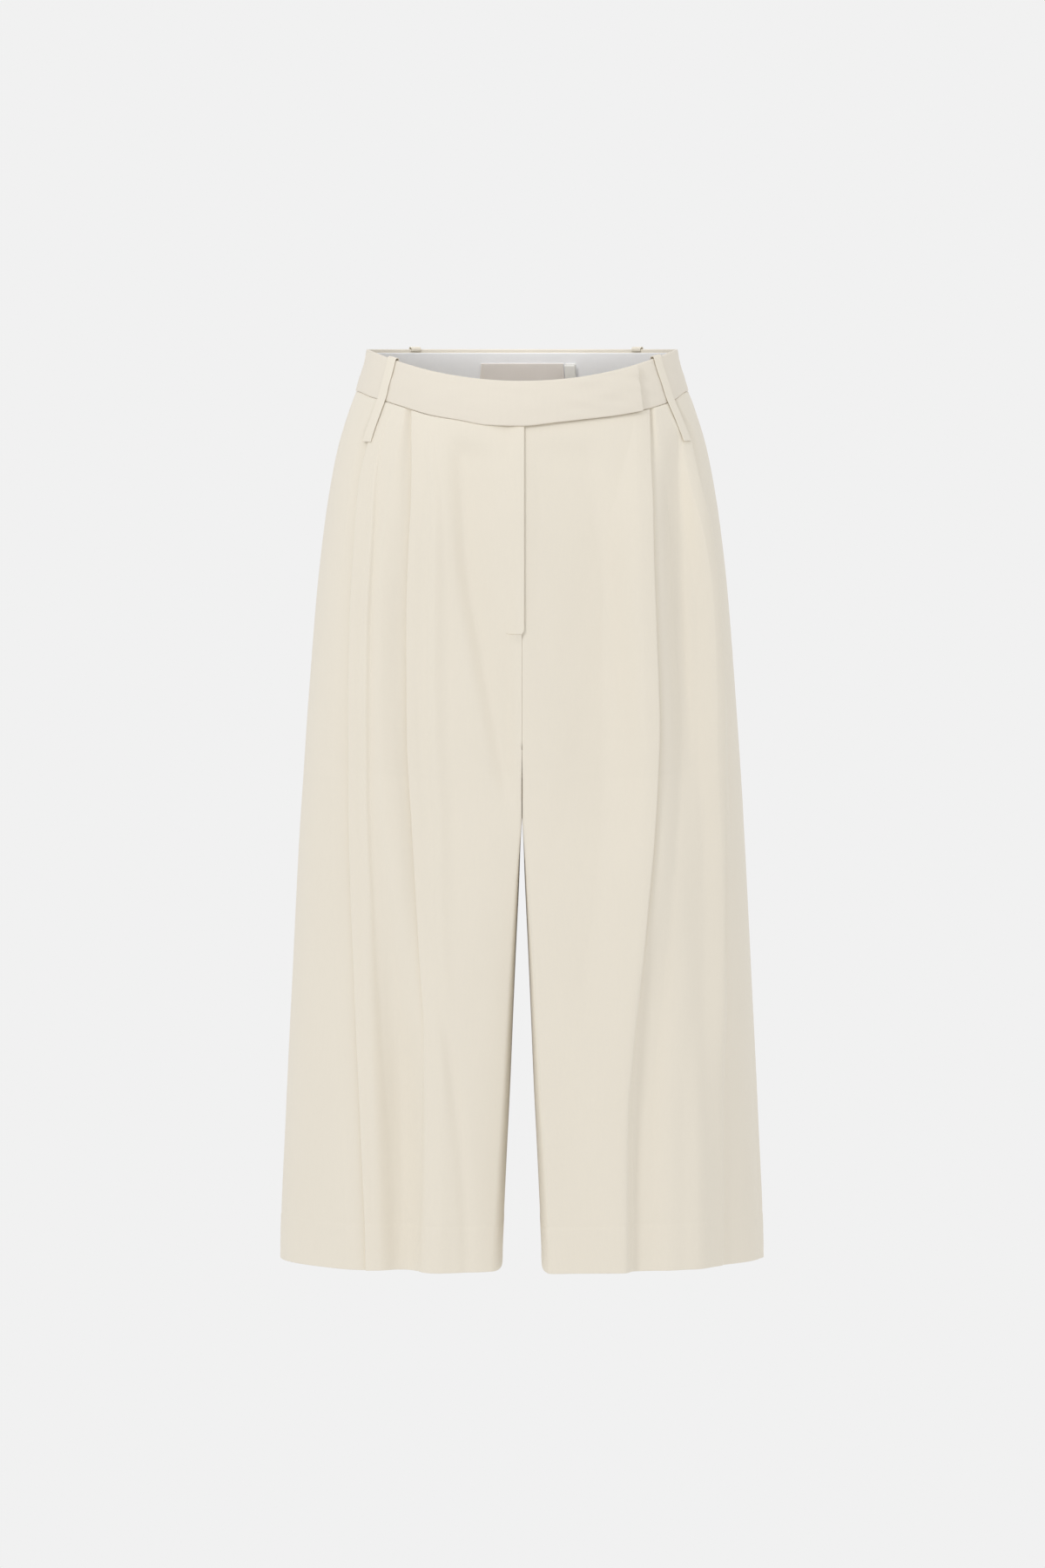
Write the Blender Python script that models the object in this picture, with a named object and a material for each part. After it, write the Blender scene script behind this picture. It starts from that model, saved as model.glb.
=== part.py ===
"""Pleated wide-leg culottes, hollow as worn, modelled at real size in metres.

+Z is up, the front faces -Y and the wearer's right is -X. The origin is the middle of the waist opening,
level with the top edge of the back waistband. Each piece that a maker cuts is one closed wall of cloth.
Tables are in millimetres, and "drop" is the distance below the waist's top edge.
"""

import math

import bpy
import numpy as np

MM = 0.001

# Driving dimensions, in millimetres.
SIDE_LENGTH = 795.0
CLOTH = 1.0
HEM_CLOTH = 1.8
SEAM_GAP = 0.3
BAND_HEIGHT_SIDE = 36.5
FRONT_RIM_DIP = 27.0
BAND_CLOTH = 2.4
BAND_PROUD = 0.6
TAB_REACH = 102.0
TAB_LIFT = 3.4
UNDERLAP_START = 6.0
HEM_DEPTH = 40.0
RISE_START = {"front": 338.0, "back": 300.0}
CROTCH_DROP = 368.0
SAG_REACH = 44.0
HANG_REACH = 75.0
HANG_SHARE = {"right": 1.0, "left": -0.35}
FLY_BOTTOM = 243.0
FLY_STEP = 2.5
LOOP_WIDTH = 10.0
LOOP_CLOTH = 1.2
FACING_CLOTH = 1.0
LABEL_CLOTH = 0.8
FINE = 96

# How much lower than at the side seams the front waist seam runs, at a share of the half width. The tab's
# side is straighter near the middle.
SEAM_DIP = {
    "drop": (0, 0.19, 0.35, 0.52, 0.69, 0.81, 0.9, 1),
    "right": (29, 28.3, 24.3, 20, 12.8, 7.8, 4.4, 0),
    "left": (29, 26, 23.3, 20.4, 15.9, 11.4, 7, 0),
}

# Outer rings: half the width, depth in front of and behind the side seams, and how pointed the outer
# quarters are (1 is an ellipse).
RINGS = {
    "drop": (0, 36.5, 50, 83, 120, 151, 212, 303, 425, 546, 668, 795),
    "half_width": (135, 144.5, 149.5, 159.7, 167.2, 172, 179, 186.2, 194.3, 200.7, 207, 211.9),
    "front": (92, 99, 102, 107, 111, 114, 117, 118, 117, 116, 114, 112),
    "back": (95, 103, 106, 113, 120, 126, 133, 131, 123, 117, 113, 111),
    "front_taper": (1, 1, 0.95, 0.8, 0.7, 0.65, 0.61, 0.61, 0.67, 0.8, 0.94, 1.06),
    "back_taper": (1, 1, 1, 1, 1, 1, 1, 1.02, 1.07, 1.12, 1.17, 1.22),
}

# Legs: where each leg is deepest, the gap from the middle to its inner side, how square that side is, and
# how far the front falls back towards it.
LEGS = {
    "drop": (225, 275, 300, 350, 404, 413, 434, 455, 516, 577, 638, 698, 759, 793),
    "front": (0.2, 0.25, 0.3, 0.35, 0.4, 1, 2.8, 4.4, 8.6, 12.4, 16, 20, 23.6, 25.6),
    "back": (0.2, 2, 4, 8, 13, 14, 17, 20, 28, 34, 39, 43, 46, 48),
    "inner": (0.15, 0.15, 0.15, 0.15, 0.15, 0.5, 1.5, 2.2, 5, 7.7, 10.2, 13.2, 16, 17.2),
    "square": (1, 1, 0.9, 0.8, 0.72, 0.7, 0.65, 0.6, 0.52, 0.48, 0.46, 0.45, 0.45, 0.45),
    "sag": (0, 0.4, 0.7, 1, 1.4, 1.5, 1.7, 2, 2.8, 3.4, 3.8, 4.2, 4.5, 4.6),
    "hang": (0, 0, 0, 0, 0, 0.3, 2.4, 4, 8, 11, 13, 14.5, 15.5, 16),
}
INNER_SHARES = (0.0, 0.45, 0.8, 0.95, 1.0)
INNER_STEP = 3.0

# Pleats: distance of the folded edge from the middle, how far the fold runs back under it, how high it
# stands and how much of that lies below the plain ring (less than nothing lifts the whole fold), how far it
# has opened out (0 is a folded pleat, 1 is a soft step), how far it reaches before and after the edge, and
# how high and how far back the crest before the edge is.
PLEATS = {
    "right": (
        {
            "drop": (50, 119, 172, 231, 330, 404, 464, 524, 583, 673, 790),
            "x": (91, 94, 98, 100, 99.5, 95.5, 92, 88, 84, 84.5, 88),
            "under": (10, 10, 9, 8, 7, 7, 6, 5, 4, 4, 4),
            "height": (3.6, 4, 4.4, 4.8, 5, 5, 4.8, 4.4, 4, 3.4, 3.4),
            "sink": (4, 5, 6, 6.4, 6.4, 6, 5, 4, 3, 2.4, 2.4),
            "open": (0, 0, 0, 0, 0, 0, 0.3, 0.55, 0.75, 0.9, 1),
            "before": (6, 20, 30, 36, 38, 38, 38, 36, 34, 32, 32),
            "after": (8, 20, 24, 24, 25, 25, 24, 24, 22, 20, 20),
            "crest": (0, 2, 4.4, 5.4, 5.6, 5, 4, 3, 2, 1.2, 1),
            "crest_at": (5, 9, 13, 15, 16, 16, 16, 15, 14, 13, 13),
        },
        {
            "drop": (40, 78, 112, 172, 232, 323, 405, 473, 548, 698, 792),
            "x": (118, 130, 138.5, 144, 147.5, 149, 149, 147.5, 144, 137, 134),
            "under": (9, 9, 9, 8, 7, 6, 6, 5, 4, 4, 4),
            "height": (3.6, 3.6, 3.6, 3.6, 3.6, 3.6, 3.6, 3.6, 3.6, 3.6, 3.8),
            "sink": (0, 0.6, 1, 1.4, 1.6, 1.6, 1.4, 1.2, 1, 1, 1),
            "open": (0, 0, 0, 0, 0, 0, 0, 0, 0.3, 0.85, 1),
            "before": (1, 5, 8, 10, 12, 13, 13, 14, 16, 20, 22),
            "after": (8, 11, 12, 14, 18, 20, 20, 20, 20, 20, 20),
            "crest": (0, 0.6, 1.6, 2.6, 3, 3, 3, 2.6, 2.2, 1.8, 1.6),
            "crest_at": (1, 3, 5, 8, 9, 10, 10, 10, 10, 10, 10),
        },
    ),
    "left": (
        {
            "drop": (55, 112, 164, 231, 329, 374, 426, 479, 539, 606, 658, 790),
            "x": (105.3, 107.6, 109, 111.3, 114.3, 112.8, 109.8, 105.3, 100.8, 94.8, 91.8, 91.8),
            "under": (10, 10, 10, 10, 9, 8, 7, 6, 5, 4, 4, 4),
            "height": (3.6, 3.8, 4.2, 4.4, 4.6, 4.6, 4.6, 4.6, 4.4, 4.2, 4, 4),
            "sink": (0, -3.5, -6.5, -8, -8.4, -8.4, -8, -7, -5.4, -4, -3, -2.4),
            "open": (0, 0, 0, 0, 0, 0, 0.1, 0.4, 0.6, 0.8, 0.92, 1),
            "before": (6, 18, 26, 32, 36, 36, 38, 42, 46, 48, 48, 48),
            "after": (6, 16, 22, 24, 25, 25, 24, 24, 24, 24, 24, 24),
            "crest": (0,) * 12,
            "crest_at": (5,) * 12,
        },
        {
            "drop": (41, 78, 120, 157, 202, 247, 300, 360, 435, 495, 600, 788),
            "x": (126, 144, 151.4, 159, 165, 168, 170.3, 171, 172.2, 172.9, 174.8, 178.6),
            "under": (9, 9, 9, 9, 8, 8, 8, 7, 5, 4, 4, 4),
            "height": (3.6, 3.8, 4.2, 4.4, 4.6, 4.8, 4.8, 4.6, 4.2, 3.6, 3.2, 2.8),
            "sink": (0, -1, -2, -2.6, -3, -3, -3, -2.6, -2, -1.2, -0.6, 0),
            "open": (0, 0, 0, 0, 0, 0, 0, 0.05, 0.4, 0.8, 1, 1),
            "before": (0.5, 5, 9, 13, 15, 16, 17, 17, 18, 20, 20, 20),
            "after": (8, 11, 12, 12, 12, 12, 12, 12, 14, 16, 17, 17),
            "crest": (0,) * 12,
            "crest_at": (5,) * 12,
        },
    ),
}
SOFT_TURN = 35.0
PAST_FOLD = 2.0
STAND_OUT = 110.0

# Soft folds: a path (drop, x), the depth along it (positive sinks in) and the reach towards the middle
# and towards the side.
FOLDS = {
    ("front", "right"): (
        {"drop": (58, 98, 174, 250, 303, 364, 410), "x": (54, 52, 48, 36, 26, 15, 6),
         "depth": (0, 7, 9, 9, 7.6, 5, 0), "in": 26, "out": 9},
        {"drop": (70, 150, 230, 300, 400), "x": (120, 117, 115, 114, 114),
         "depth": (0, 1.4, 1.6, 1.4, 0), "in": 8, "out": 12},
        {"drop": (380, 435, 548, 623, 698, 793), "x": (128, 126, 116, 109, 107, 107),
         "depth": (0, 3.5, 10, 14, 15, 15), "in": 16, "out": 17},
        {"drop": (470, 560, 640, 793), "x": (92, 85, 81, 77),
         "depth": (0, -3, -4.4, -4.4), "in": 34, "out": 10},
        {"drop": (480, 540, 590, 640, 700, 793), "x": (78, 72, 65, 58, 52, 48),
         "depth": (0, 1.8, 2.6, 2.6, 2.2, 2), "in": 6, "out": 5},
        {"drop": (480, 600, 700, 793), "x": (158, 152, 148, 146),
         "depth": (0, -2.4, -3, -3), "in": 16, "out": 22},
    ),
    ("front", "left"): (
        {"drop": (60, 100, 174, 250, 330, 400, 470), "x": (46, 55, 66, 75, 82, 86, 86),
         "depth": (0, 5.5, 7, 7.4, 6.6, 4, 0), "in": 46, "out": 15},
        {"drop": (60, 100, 150, 220, 290, 340, 400), "x": (136, 139, 139, 138, 141, 144, 146),
         "depth": (0, 5, 6.4, 6.4, 5.4, 3, 0), "in": 15, "out": 8},
        {"drop": (360, 440, 520, 620, 700, 793), "x": (128, 132, 136, 142, 146, 148),
         "depth": (0, -2.5, -4, -4.4, -4.4, -4.4), "in": 18, "out": 14},
        {"drop": (470, 560, 640, 720, 793), "x": (114, 105, 101, 99, 99),
         "depth": (0, 4.4, 7, 7.6, 7.6), "in": 7, "out": 20},
        {"drop": (540, 620, 700, 793), "x": (142, 141, 141, 142),
         "depth": (0, 2.6, 3.6, 3.6), "in": 9, "out": 8},
        {"drop": (560, 640, 720, 793), "x": (178, 178, 179, 180), "depth": (0, 5, 7, 8), "in": 15, "out": 30},
    ),
    ("back", "right"): (
        {"drop": (200, 300, 420, 600, 793), "x": (62, 64, 66, 64, 60),
         "depth": (0, 2.6, 4.4, 5.6, 6), "in": 18, "out": 20},
        {"drop": (300, 420, 600, 793), "x": (118, 124, 126, 124),
         "depth": (0, 3, 4.6, 5), "in": 18, "out": 18},
        {"drop": (260, 340, 430, 520), "x": (26, 30, 38, 44),
         "depth": (0, 2.4, 2.4, 0), "in": 12, "out": 14},
    ),
    ("back", "left"): (
        {"drop": (230, 330, 450, 620, 793), "x": (70, 70, 68, 72, 76),
         "depth": (0, 3, 4.8, 5.6, 5.6), "in": 20, "out": 18},
        {"drop": (280, 400, 600, 793), "x": (126, 130, 134, 138),
         "depth": (0, 2.6, 4.2, 4.6), "in": 16, "out": 18},
        {"drop": (260, 340, 430, 520), "x": (24, 28, 36, 42),
         "depth": (0, 2, 2.2, 0), "in": 12, "out": 14},
    ),
}

# Rows down a panel, as drops at the side seam. They are close where the crotch curves under.
PANEL_ROWS = (
    36.8, 43, 52, 66, 86, 112, 146, 184, 218, 247, 252, 275, 306, 338, 348, 357, 363, 367, 368,
    404, 430, 465, 515, 575, 660, 754.5, 755.5, 795,
)
DIP_ENDS = 205.0
CENTRE_COLUMNS = 6
MIDDLE_COLUMNS = 3
SIDE_COLUMNS = 5
BACK_COLUMNS = 14
BACK_BAND_COLUMNS = 27

# Belt loops: angle from the front or back middle at the top and the bottom end, and the drop of that end.
LOOPS = {
    "belt_loop_front_right": {"part": "front", "side": -1, "top": 55.2, "bottom": 54.6, "end": 79.5},
    "belt_loop_front_left": {"part": "front", "side": 1, "top": 58.8, "bottom": 60.8, "end": 79.0},
    "belt_loop_back_right": {"part": "back", "side": -1, "top": 44.5, "bottom": 45.5, "end": 73.0},
    "belt_loop_back_left": {"part": "back", "side": 1, "top": 49.0, "bottom": 50.0, "end": 73.0},
}
# A loop's run: drop below the rim, and height of the strip's middle over the outer surface. It starts
# inside the waistband, goes over the rim, bows out, is tacked at the waist seam and bows out again.
LOOP_OVER_RIM = ((2.2, -2.8), (-0.4, -2.85), (-1.6, -1.9), (-1.9, -0.4), (-1.5, 1.1), (1.5, 1.7))
LOOP_ON_BAND = ((0.25, 2.5), (0.6, 2.8), (0.9, 2.3))
LOOP_BELOW = {
    "front": ((0.06, 2.8), (0.35, 5.4), (0.7, 7.0), (0.93, 7.2), (1.0, 7.1)),
    "back": ((0.06, 1.8), (0.35, 3.0), (0.7, 2.8), (0.93, 1.6), (1.0, 1.5)),
}

LABEL = {"left": -36.5, "right": 36.8, "top": 12.5, "bottom": 34.5}
SIZE_TAB = {"left": 38.4, "right": 47.4}
# The folded size tab: drop, and distance inside the outer surface.
SIZE_TAB_RUN = ((12.5, 4.1), (22, 4.3), (31, 4.9), (33, 6.1), (31.5, 7.4), (23, 7.9), (14, 7.6))
FLY_SHIELD = {"left": -20.0, "right": 14.0, "top": 70.0, "bottom": 244.0, "inside": 1.8}

MATERIALS = {
    "ivory_cloth": ((0.83, 0.78, 0.69), 0.82),
    "ivory_band": ((0.84, 0.79, 0.70), 0.80),
    "lining": ((0.72, 0.72, 0.73), 0.60),
    "label_tape": ((0.66, 0.60, 0.54), 0.65),
    "white_tape": ((0.80, 0.80, 0.80), 0.65),
}


def smooth(drops, values, at):
    """A curve through a table's points with no overshoot, flat beyond both ends."""
    x, y = np.asarray(drops, float), np.asarray(values, float)
    at = np.clip(np.asarray(at, float), x[0], x[-1])
    step = np.diff(x)
    slope = np.diff(y) / step
    product = slope[:-1] * slope[1:]
    total = np.where(product > 0, slope[:-1] + slope[1:], 1.0)
    tangent = np.zeros_like(y)
    tangent[1:-1] = np.where(product > 0, 2 * product / total, 0.0)
    i = np.clip(np.searchsorted(x, at) - 1, 0, len(step) - 1)
    t = (at - x[i]) / step[i]
    start = y[i] * (1 + 2 * t) * (1 - t) ** 2 + step[i] * tangent[i] * t * (1 - t) ** 2
    return start + y[i + 1] * t**2 * (3 - 2 * t) + step[i] * tangent[i + 1] * t**2 * (t - 1)


def read(table, column, drop):
    """One named column of a table at a drop."""
    return smooth(table["drop"], table[column], drop)


def ease(t):
    """0 to 1 with soft ends."""
    t = np.clip(t, 0.0, 1.0)
    return t * t * (3 - 2 * t)


def centre_depth(part, drop):
    """How far the centre seam stands in front of or behind the side seams: full depth down to where the
    crotch curve starts, then a quarter ellipse in to the inseam."""
    depth = read(RINGS, part, drop)
    start = RISE_START[part]
    fall = np.clip((drop - start) / (CROTCH_DROP - start), 0.0, 1.0)
    return max(SEAM_GAP / 2, depth * math.sqrt(1 - fall**2))


def outline(part, drop):
    """A quarter ring in plan, from the centre edge to the side seam: distances along it, x and depth."""
    depth, edge = read(RINGS, part, drop), centre_depth(part, drop)
    width, taper = read(RINGS, "half_width", drop), read(RINGS, part + "_taper", drop)
    inner, square = read(LEGS, "inner", drop), read(LEGS, "square", drop)
    crest = max(read(LEGS, part, drop), inner)
    turn = np.linspace(0, math.pi / 2, FINE)
    flank = np.sin(turn), np.maximum(np.cos(turn), 0.0)
    x_in = crest - (crest - inner) * flank[0][::-1]
    y_in = edge + (depth - edge) * flank[1][::-1] ** square
    x_out = crest + (width - crest) * flank[0][1:]
    y_out = SEAM_GAP / 2 + (depth - SEAM_GAP / 2) * flank[1][1:] ** taper
    x, y = np.concatenate([x_in, x_out]), np.concatenate([y_in, y_out])
    if part == "front":
        y = y - read(LEGS, "sag", drop) * np.clip(1 - x / SAG_REACH, 0, 1) ** 2 * y / depth
    run = np.concatenate([[0.0], np.cumsum(np.hypot(np.diff(x), np.diff(y)))])
    return run, x, y


def inner_columns(part, drop):
    """Distances along a row of the columns that round its inner side."""
    run, _, y = outline(part, drop)
    reached = y[0] + (y[FINE - 1] - y[0]) * np.array(INNER_SHARES)
    return np.maximum(np.interp(reached, y[:FINE], run[:FINE]), INNER_STEP * np.arange(len(reached)))


def front_dip(side, x, drop):
    """How much lower than the side a row of the front runs, at x from the middle."""
    share = np.clip(x / read(RINGS, "half_width", drop), 0, 1)
    fade = 1 - ease((drop - BAND_HEIGHT_SIDE) / (DIP_ENDS - BAND_HEIGHT_SIDE))
    return read(SEAM_DIP, side, share) * fade


def relief(part, side, x, drop, to_side):
    """Height of the soft folds over the plain ring, at a point x from the middle."""
    height = 0.0
    for fold in FOLDS[part, side]:
        away = x - read(fold, "x", drop)
        reach = fold["in"] if away < 0 else fold["out"]
        height -= read(fold, "depth", drop) * math.exp(-((away / reach) ** 2))
    near_middle = ease((x - read(LEGS, "inner", drop)) / 16.0)
    near_seam = ease((drop - BAND_HEIGHT_SIDE) / 30.0)
    return height * near_middle * near_seam * ease(to_side / 14.0)


def pleat_place(side, pleat, drop_row):
    """Where a row meets a pleat's folded edge: x from the middle, and the drop there."""
    drop = drop_row
    for _ in range(6):
        x = read(pleat, "x", drop)
        drop = drop_row + front_dip(side, x, drop_row)
    return x, drop


def fly_step(x, drop):
    """The folded edge of the wearer's right front stands a little over the left one, down to the fly's end."""
    return FLY_STEP * ease((12.0 - x) / 9.0) * ease((FLY_BOTTOM + 4.0 - drop) / 4.0)


def pleat_keys(pleat, drop):
    """Points (along, height) of a pleat's middle surface about its folded edge, at one drop. Under the
    waistband the folded layers lie inside. Lower down the folded edge stands out. A pleat that opens first
    loses its underlap and then unrolls into a soft step."""
    height, under = read(pleat, "height", drop), read(pleat, "under", drop)
    before, after = read(pleat, "before", drop), read(pleat, "after", drop)
    opened = 2 * read(pleat, "open", drop) - 1
    turn = math.pi - math.radians(180 - SOFT_TURN) * ease(opened)
    flat = (under - height / 2) * max(0.0, -opened) + 2.0 * max(0.0, opened)
    r = (height - flat * math.sin(turn)) / (2 * (1 - math.cos(turn)))
    arc = np.linspace(0, turn, 4)
    fold = np.stack([r * np.sin(arc), height - r * (1 - np.cos(arc))], 1)
    end = np.array([2 * r * math.sin(turn) + flat * math.cos(turn), height])
    free = ease((drop - BAND_HEIGHT_SIDE) / STAND_OUT)
    sunk = height * (1 - free) + read(pleat, "sink", drop) * free
    middle = np.concatenate([fold, end - fold[::-1]]) - (r * math.sin(min(turn, math.pi / 2)), sunk)
    rise, clear = height - sunk, 1.5 - middle[:, 0].min()
    crest, crest_at = read(pleat, "crest", drop), min(read(pleat, "crest_at", drop), before / 2)
    lead = []
    for inward in (before, (before + crest_at) / 2, crest_at, 0.0):
        t = 1 - inward / before
        bump = crest * math.exp(-(((inward - crest_at) / (0.5 * crest_at)) ** 2)) * ease(t * 4)
        lead.append((-clear - inward, rise * (0.35 * ease(t) + 0.65 * t**1.5) + bump))
    tail = [(max(middle[-1, 0], 0.0) + PAST_FOLD, -sunk), (after, 0.0)]
    return np.concatenate([lead, middle, tail])


def level(alongs):
    """Points of a path that runs on the ring itself."""
    return np.stack([alongs, np.zeros(len(alongs))], 1)


def panel_path(part, side, drop):
    """A row's middle surface as (along, height), with the same number of points in every row."""
    run, x, _ = outline(part, drop)
    inner = inner_columns(part, drop)
    if part == "back":
        return level(np.concatenate([inner, np.linspace(inner[-1], run[-1], BACK_COLUMNS + 1)[1:]]))
    pieces, start = [level(inner)], inner[-1]
    for count, pleat in zip((CENTRE_COLUMNS, MIDDLE_COLUMNS), PLEATS[side], strict=True):
        edge_x, edge_drop = pleat_place(side, pleat, drop)
        keys = pleat_keys(pleat, edge_drop) + (np.interp(edge_x, x, run), 0.0)
        pieces += [level(np.linspace(start, keys[0, 0], count + 2)[1:-1]), keys]
        start = keys[-1, 0]
    return np.concatenate([*pieces, level(np.linspace(start, run[-1], SIDE_COLUMNS + 1)[1:])])


def offset_path(path, thickness):
    """The two faces of a wall about its middle surface, in the same (along, height) plane."""
    ahead = np.diff(path, axis=0)
    ahead /= np.linalg.norm(ahead, axis=1)[:, None]
    across = np.stack([-ahead[:, 1], ahead[:, 0]], 1)
    before, after = across[[0, *range(len(across))]], across[[*range(len(across)), -1]]
    mitre = before + after
    mitre *= (2 / np.maximum(np.einsum("ij,ij->i", mitre, mitre), 1.8))[:, None] * thickness / 2
    return path + mitre, path - mitre


def hang(side, x, drop):
    """How far the front of a leg falls back towards its inner edge, negative where that edge stands forward."""
    from_edge = (x - read(LEGS, "inner", drop)) / HANG_REACH
    return HANG_SHARE[side] * read(LEGS, "hang", drop) * np.clip(1 - from_edge, 0, 1) ** 2


def surface_point(part, side, drop_row, along, height):
    """A point over the ring at a row, with the row's dip at the front and the soft folds."""
    run, x, _ = outline(part, drop_row)
    share = np.clip(along / run[-1], 0, 1)
    drop = drop_row
    if part == "front":
        drop = drop_row + front_dip(side, np.interp(along, run, x), drop_row)
    run, x, y = outline(part, drop)
    at = share * run[-1]
    here = np.array([np.interp(at, run, x), np.interp(at, run, y)])
    if part == "front":
        here[1] *= 1 - hang(side, here[0], drop) / read(RINGS, "front", drop)
    reach = 1.5
    a, b = max(0.0, at - reach), min(run[-1], at + reach)
    ahead = np.array([np.interp(b, run, x) - np.interp(a, run, x), np.interp(b, run, y) - np.interp(a, run, y)])
    ahead /= np.linalg.norm(ahead)
    outward = np.array([-ahead[1], ahead[0]])
    lift = height + relief(part, side, here[0], drop, run[-1] - at)
    if part == "front" and side == "right":
        lift += fly_step(here[0], drop)
    flat = here + outward * lift
    flat = np.maximum(flat, SEAM_GAP / 2)
    sign_x = 1 if side == "left" else -1
    sign_y = -1 if part == "front" else 1
    return sign_x * flat[0] * MM, sign_y * flat[1] * MM, -drop * MM


def material(name):
    """The named finish, made once."""
    if name in bpy.data.materials:
        return bpy.data.materials[name]
    colour, roughness = MATERIALS[name]
    made = bpy.data.materials.new(name)
    made.use_nodes = True
    shader = made.node_tree.nodes["Principled BSDF"]
    shader.inputs["Base Color"].default_value = (*colour, 1.0)
    shader.inputs["Roughness"].default_value = roughness
    shader.inputs["Metallic"].default_value = 0.0
    return made


def wall(name, outer, inner, finish):
    """A closed wall between two grids of points with the same rows and columns."""
    outer, inner = np.asarray(outer, float), np.asarray(inner, float)
    rows, columns = outer.shape[:2]
    points = np.concatenate([outer.reshape(-1, 3), inner.reshape(-1, 3)])
    below = rows * columns

    def at(row, column, layer):
        return row * columns + column + layer * below

    faces = []
    for r in range(rows - 1):
        for c in range(columns - 1):
            a, b, d, e = at(r, c, 0), at(r + 1, c, 0), at(r + 1, c + 1, 0), at(r, c + 1, 0)
            faces += [(a, b, d), (a, d, e)]
            faces += [(a + below, d + below, b + below), (a + below, e + below, d + below)]
    for r in range(rows - 1):
        faces.append((at(r, 0, 1), at(r + 1, 0, 1), at(r + 1, 0, 0), at(r, 0, 0)))
        last = columns - 1
        faces.append((at(r, last, 0), at(r + 1, last, 0), at(r + 1, last, 1), at(r, last, 1)))
    for c in range(columns - 1):
        faces.append((at(0, c, 0), at(0, c + 1, 0), at(0, c + 1, 1), at(0, c, 1)))
        low = rows - 1
        faces.append((at(low, c, 1), at(low, c + 1, 1), at(low, c + 1, 0), at(low, c, 0)))
    corners = points[[face[:3] for face in faces]]
    if np.linalg.det(corners).sum() < 0:
        faces = [face[::-1] for face in faces]
    mesh = bpy.data.meshes.new(name)
    mesh.from_pydata(points.tolist(), [], faces)
    mesh.update()
    mesh.shade_smooth()
    mesh.set_sharp_from_angle(angle=math.radians(50))
    made = bpy.data.objects.new(name, mesh)
    made.data.materials.append(material(finish))
    bpy.context.scene.collection.objects.link(made)
    return made


def panel(part, side):
    """A front or back panel of one leg, from the waist seam to the hem."""
    outer, inner = [], []
    for drop in PANEL_ROWS:
        thick = HEM_CLOTH if drop > SIDE_LENGTH - HEM_DEPTH else CLOTH
        path = panel_path(part, side, drop) - (0.0, CLOTH / 2)
        top, low = offset_path(path, CLOTH)
        low = low + (low - top) * (thick / CLOTH - 1)
        outer.append([surface_point(part, side, drop, *p) for p in top])
        inner.append([surface_point(part, side, drop, *p) for p in low])
    return wall(f"{part}_{side}", outer, inner, "ivory_cloth")


def rim_drop(part, angle):
    """Drop of the waistband's top edge: level behind, dipping to the middle in front."""
    return FRONT_RIM_DIP * math.cos(angle) ** 2 if part == "front" else 0.0


def seam_drop(part, angle):
    """Drop of the waist seam under the band."""
    side = "left" if angle > 0 else "right"
    dip = read(SEAM_DIP, side, abs(math.sin(angle))) if part == "front" else 0.0
    return BAND_HEIGHT_SIDE + dip


def waist_point(part, angle, drop, lift, across=0.0):
    """A point near the waist, at an angle from the middle of the front or back, lifted off the outer
    surface and moved across it. A positive angle is on the wearer's left."""
    width, depth = read(RINGS, "half_width", drop), read(RINGS, part, drop)
    x, y = width * math.sin(angle), depth * math.cos(angle)
    outward = np.array([math.sin(angle) / width, math.cos(angle) / depth])
    outward /= np.linalg.norm(outward)
    ahead = np.array([outward[1], -outward[0]])
    flat = np.array([x, y]) + outward * lift + ahead * across
    sign_y = -1 if part == "front" else 1
    return flat[0] * MM, sign_y * flat[1] * MM, -drop * MM


def band(name, part, start, end, columns, lift_of, slant=0.0):
    """A piece of the waistband between two angles, gently rounded from edge to edge. Its end leans back
    by the slant towards the bottom."""
    outer, inner = [], []
    for share, round_out in ((0.0, 0.0), (0.12, 0.35), (0.5, 0.6), (0.88, 0.35), (1.0, 0.0)):
        rows = [], []
        for angle in np.linspace(start, end - share * slant, columns):
            top, low = rim_drop(part, angle), seam_drop(part, angle)
            drop = top + share * (low - top)
            lift = BAND_PROUD + lift_of(angle)
            rows[0].append(waist_point(part, angle, drop, lift + round_out))
            rows[1].append(waist_point(part, angle, drop, lift - BAND_CLOTH))
        outer.append(rows[0])
        inner.append(rows[1])
    return wall(name, outer, inner, "ivory_band")


def waistband():
    """The band in three pieces. The wearer's right front runs on over the left one as a tab."""
    seam = SEAM_GAP / 2 / RINGS["half_width"][0]
    side = math.pi / 2 - 2 * seam
    tab_end = math.asin(TAB_REACH / RINGS["half_width"][1])
    underlap = math.asin(UNDERLAP_START / RINGS["half_width"][1])

    def tab_lift(angle):
        return TAB_LIFT * float(ease((math.degrees(angle) + 15.0) / 12.0))

    band("waistband_right", "front", -side, tab_end, 27, tab_lift, slant=math.radians(2.2))
    band("waistband_left", "front", underlap, side, 17, lambda _: 0.0)
    band("waistband_back", "back", -side, side, BACK_BAND_COLUMNS, lambda _: 0.0)


def facing():
    """Lining along the inside of the back waistband."""
    top, low = 3.2, BAND_HEIGHT_SIDE - 0.8
    far = BAND_CLOTH - BAND_PROUD + SEAM_GAP
    seam = SEAM_GAP / RINGS["half_width"][0]
    side = math.pi / 2 - seam
    angles = np.linspace(-side, side, BACK_BAND_COLUMNS)[1:-1]
    grids = [], []
    for drop in np.linspace(top, low, 4):
        for grid, lift in zip(grids, (-far, -far - FACING_CLOTH), strict=True):
            grid.append([waist_point("back", angle, drop, lift) for angle in angles])
    wall("waistband_facing", *grids, "lining")


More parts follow.
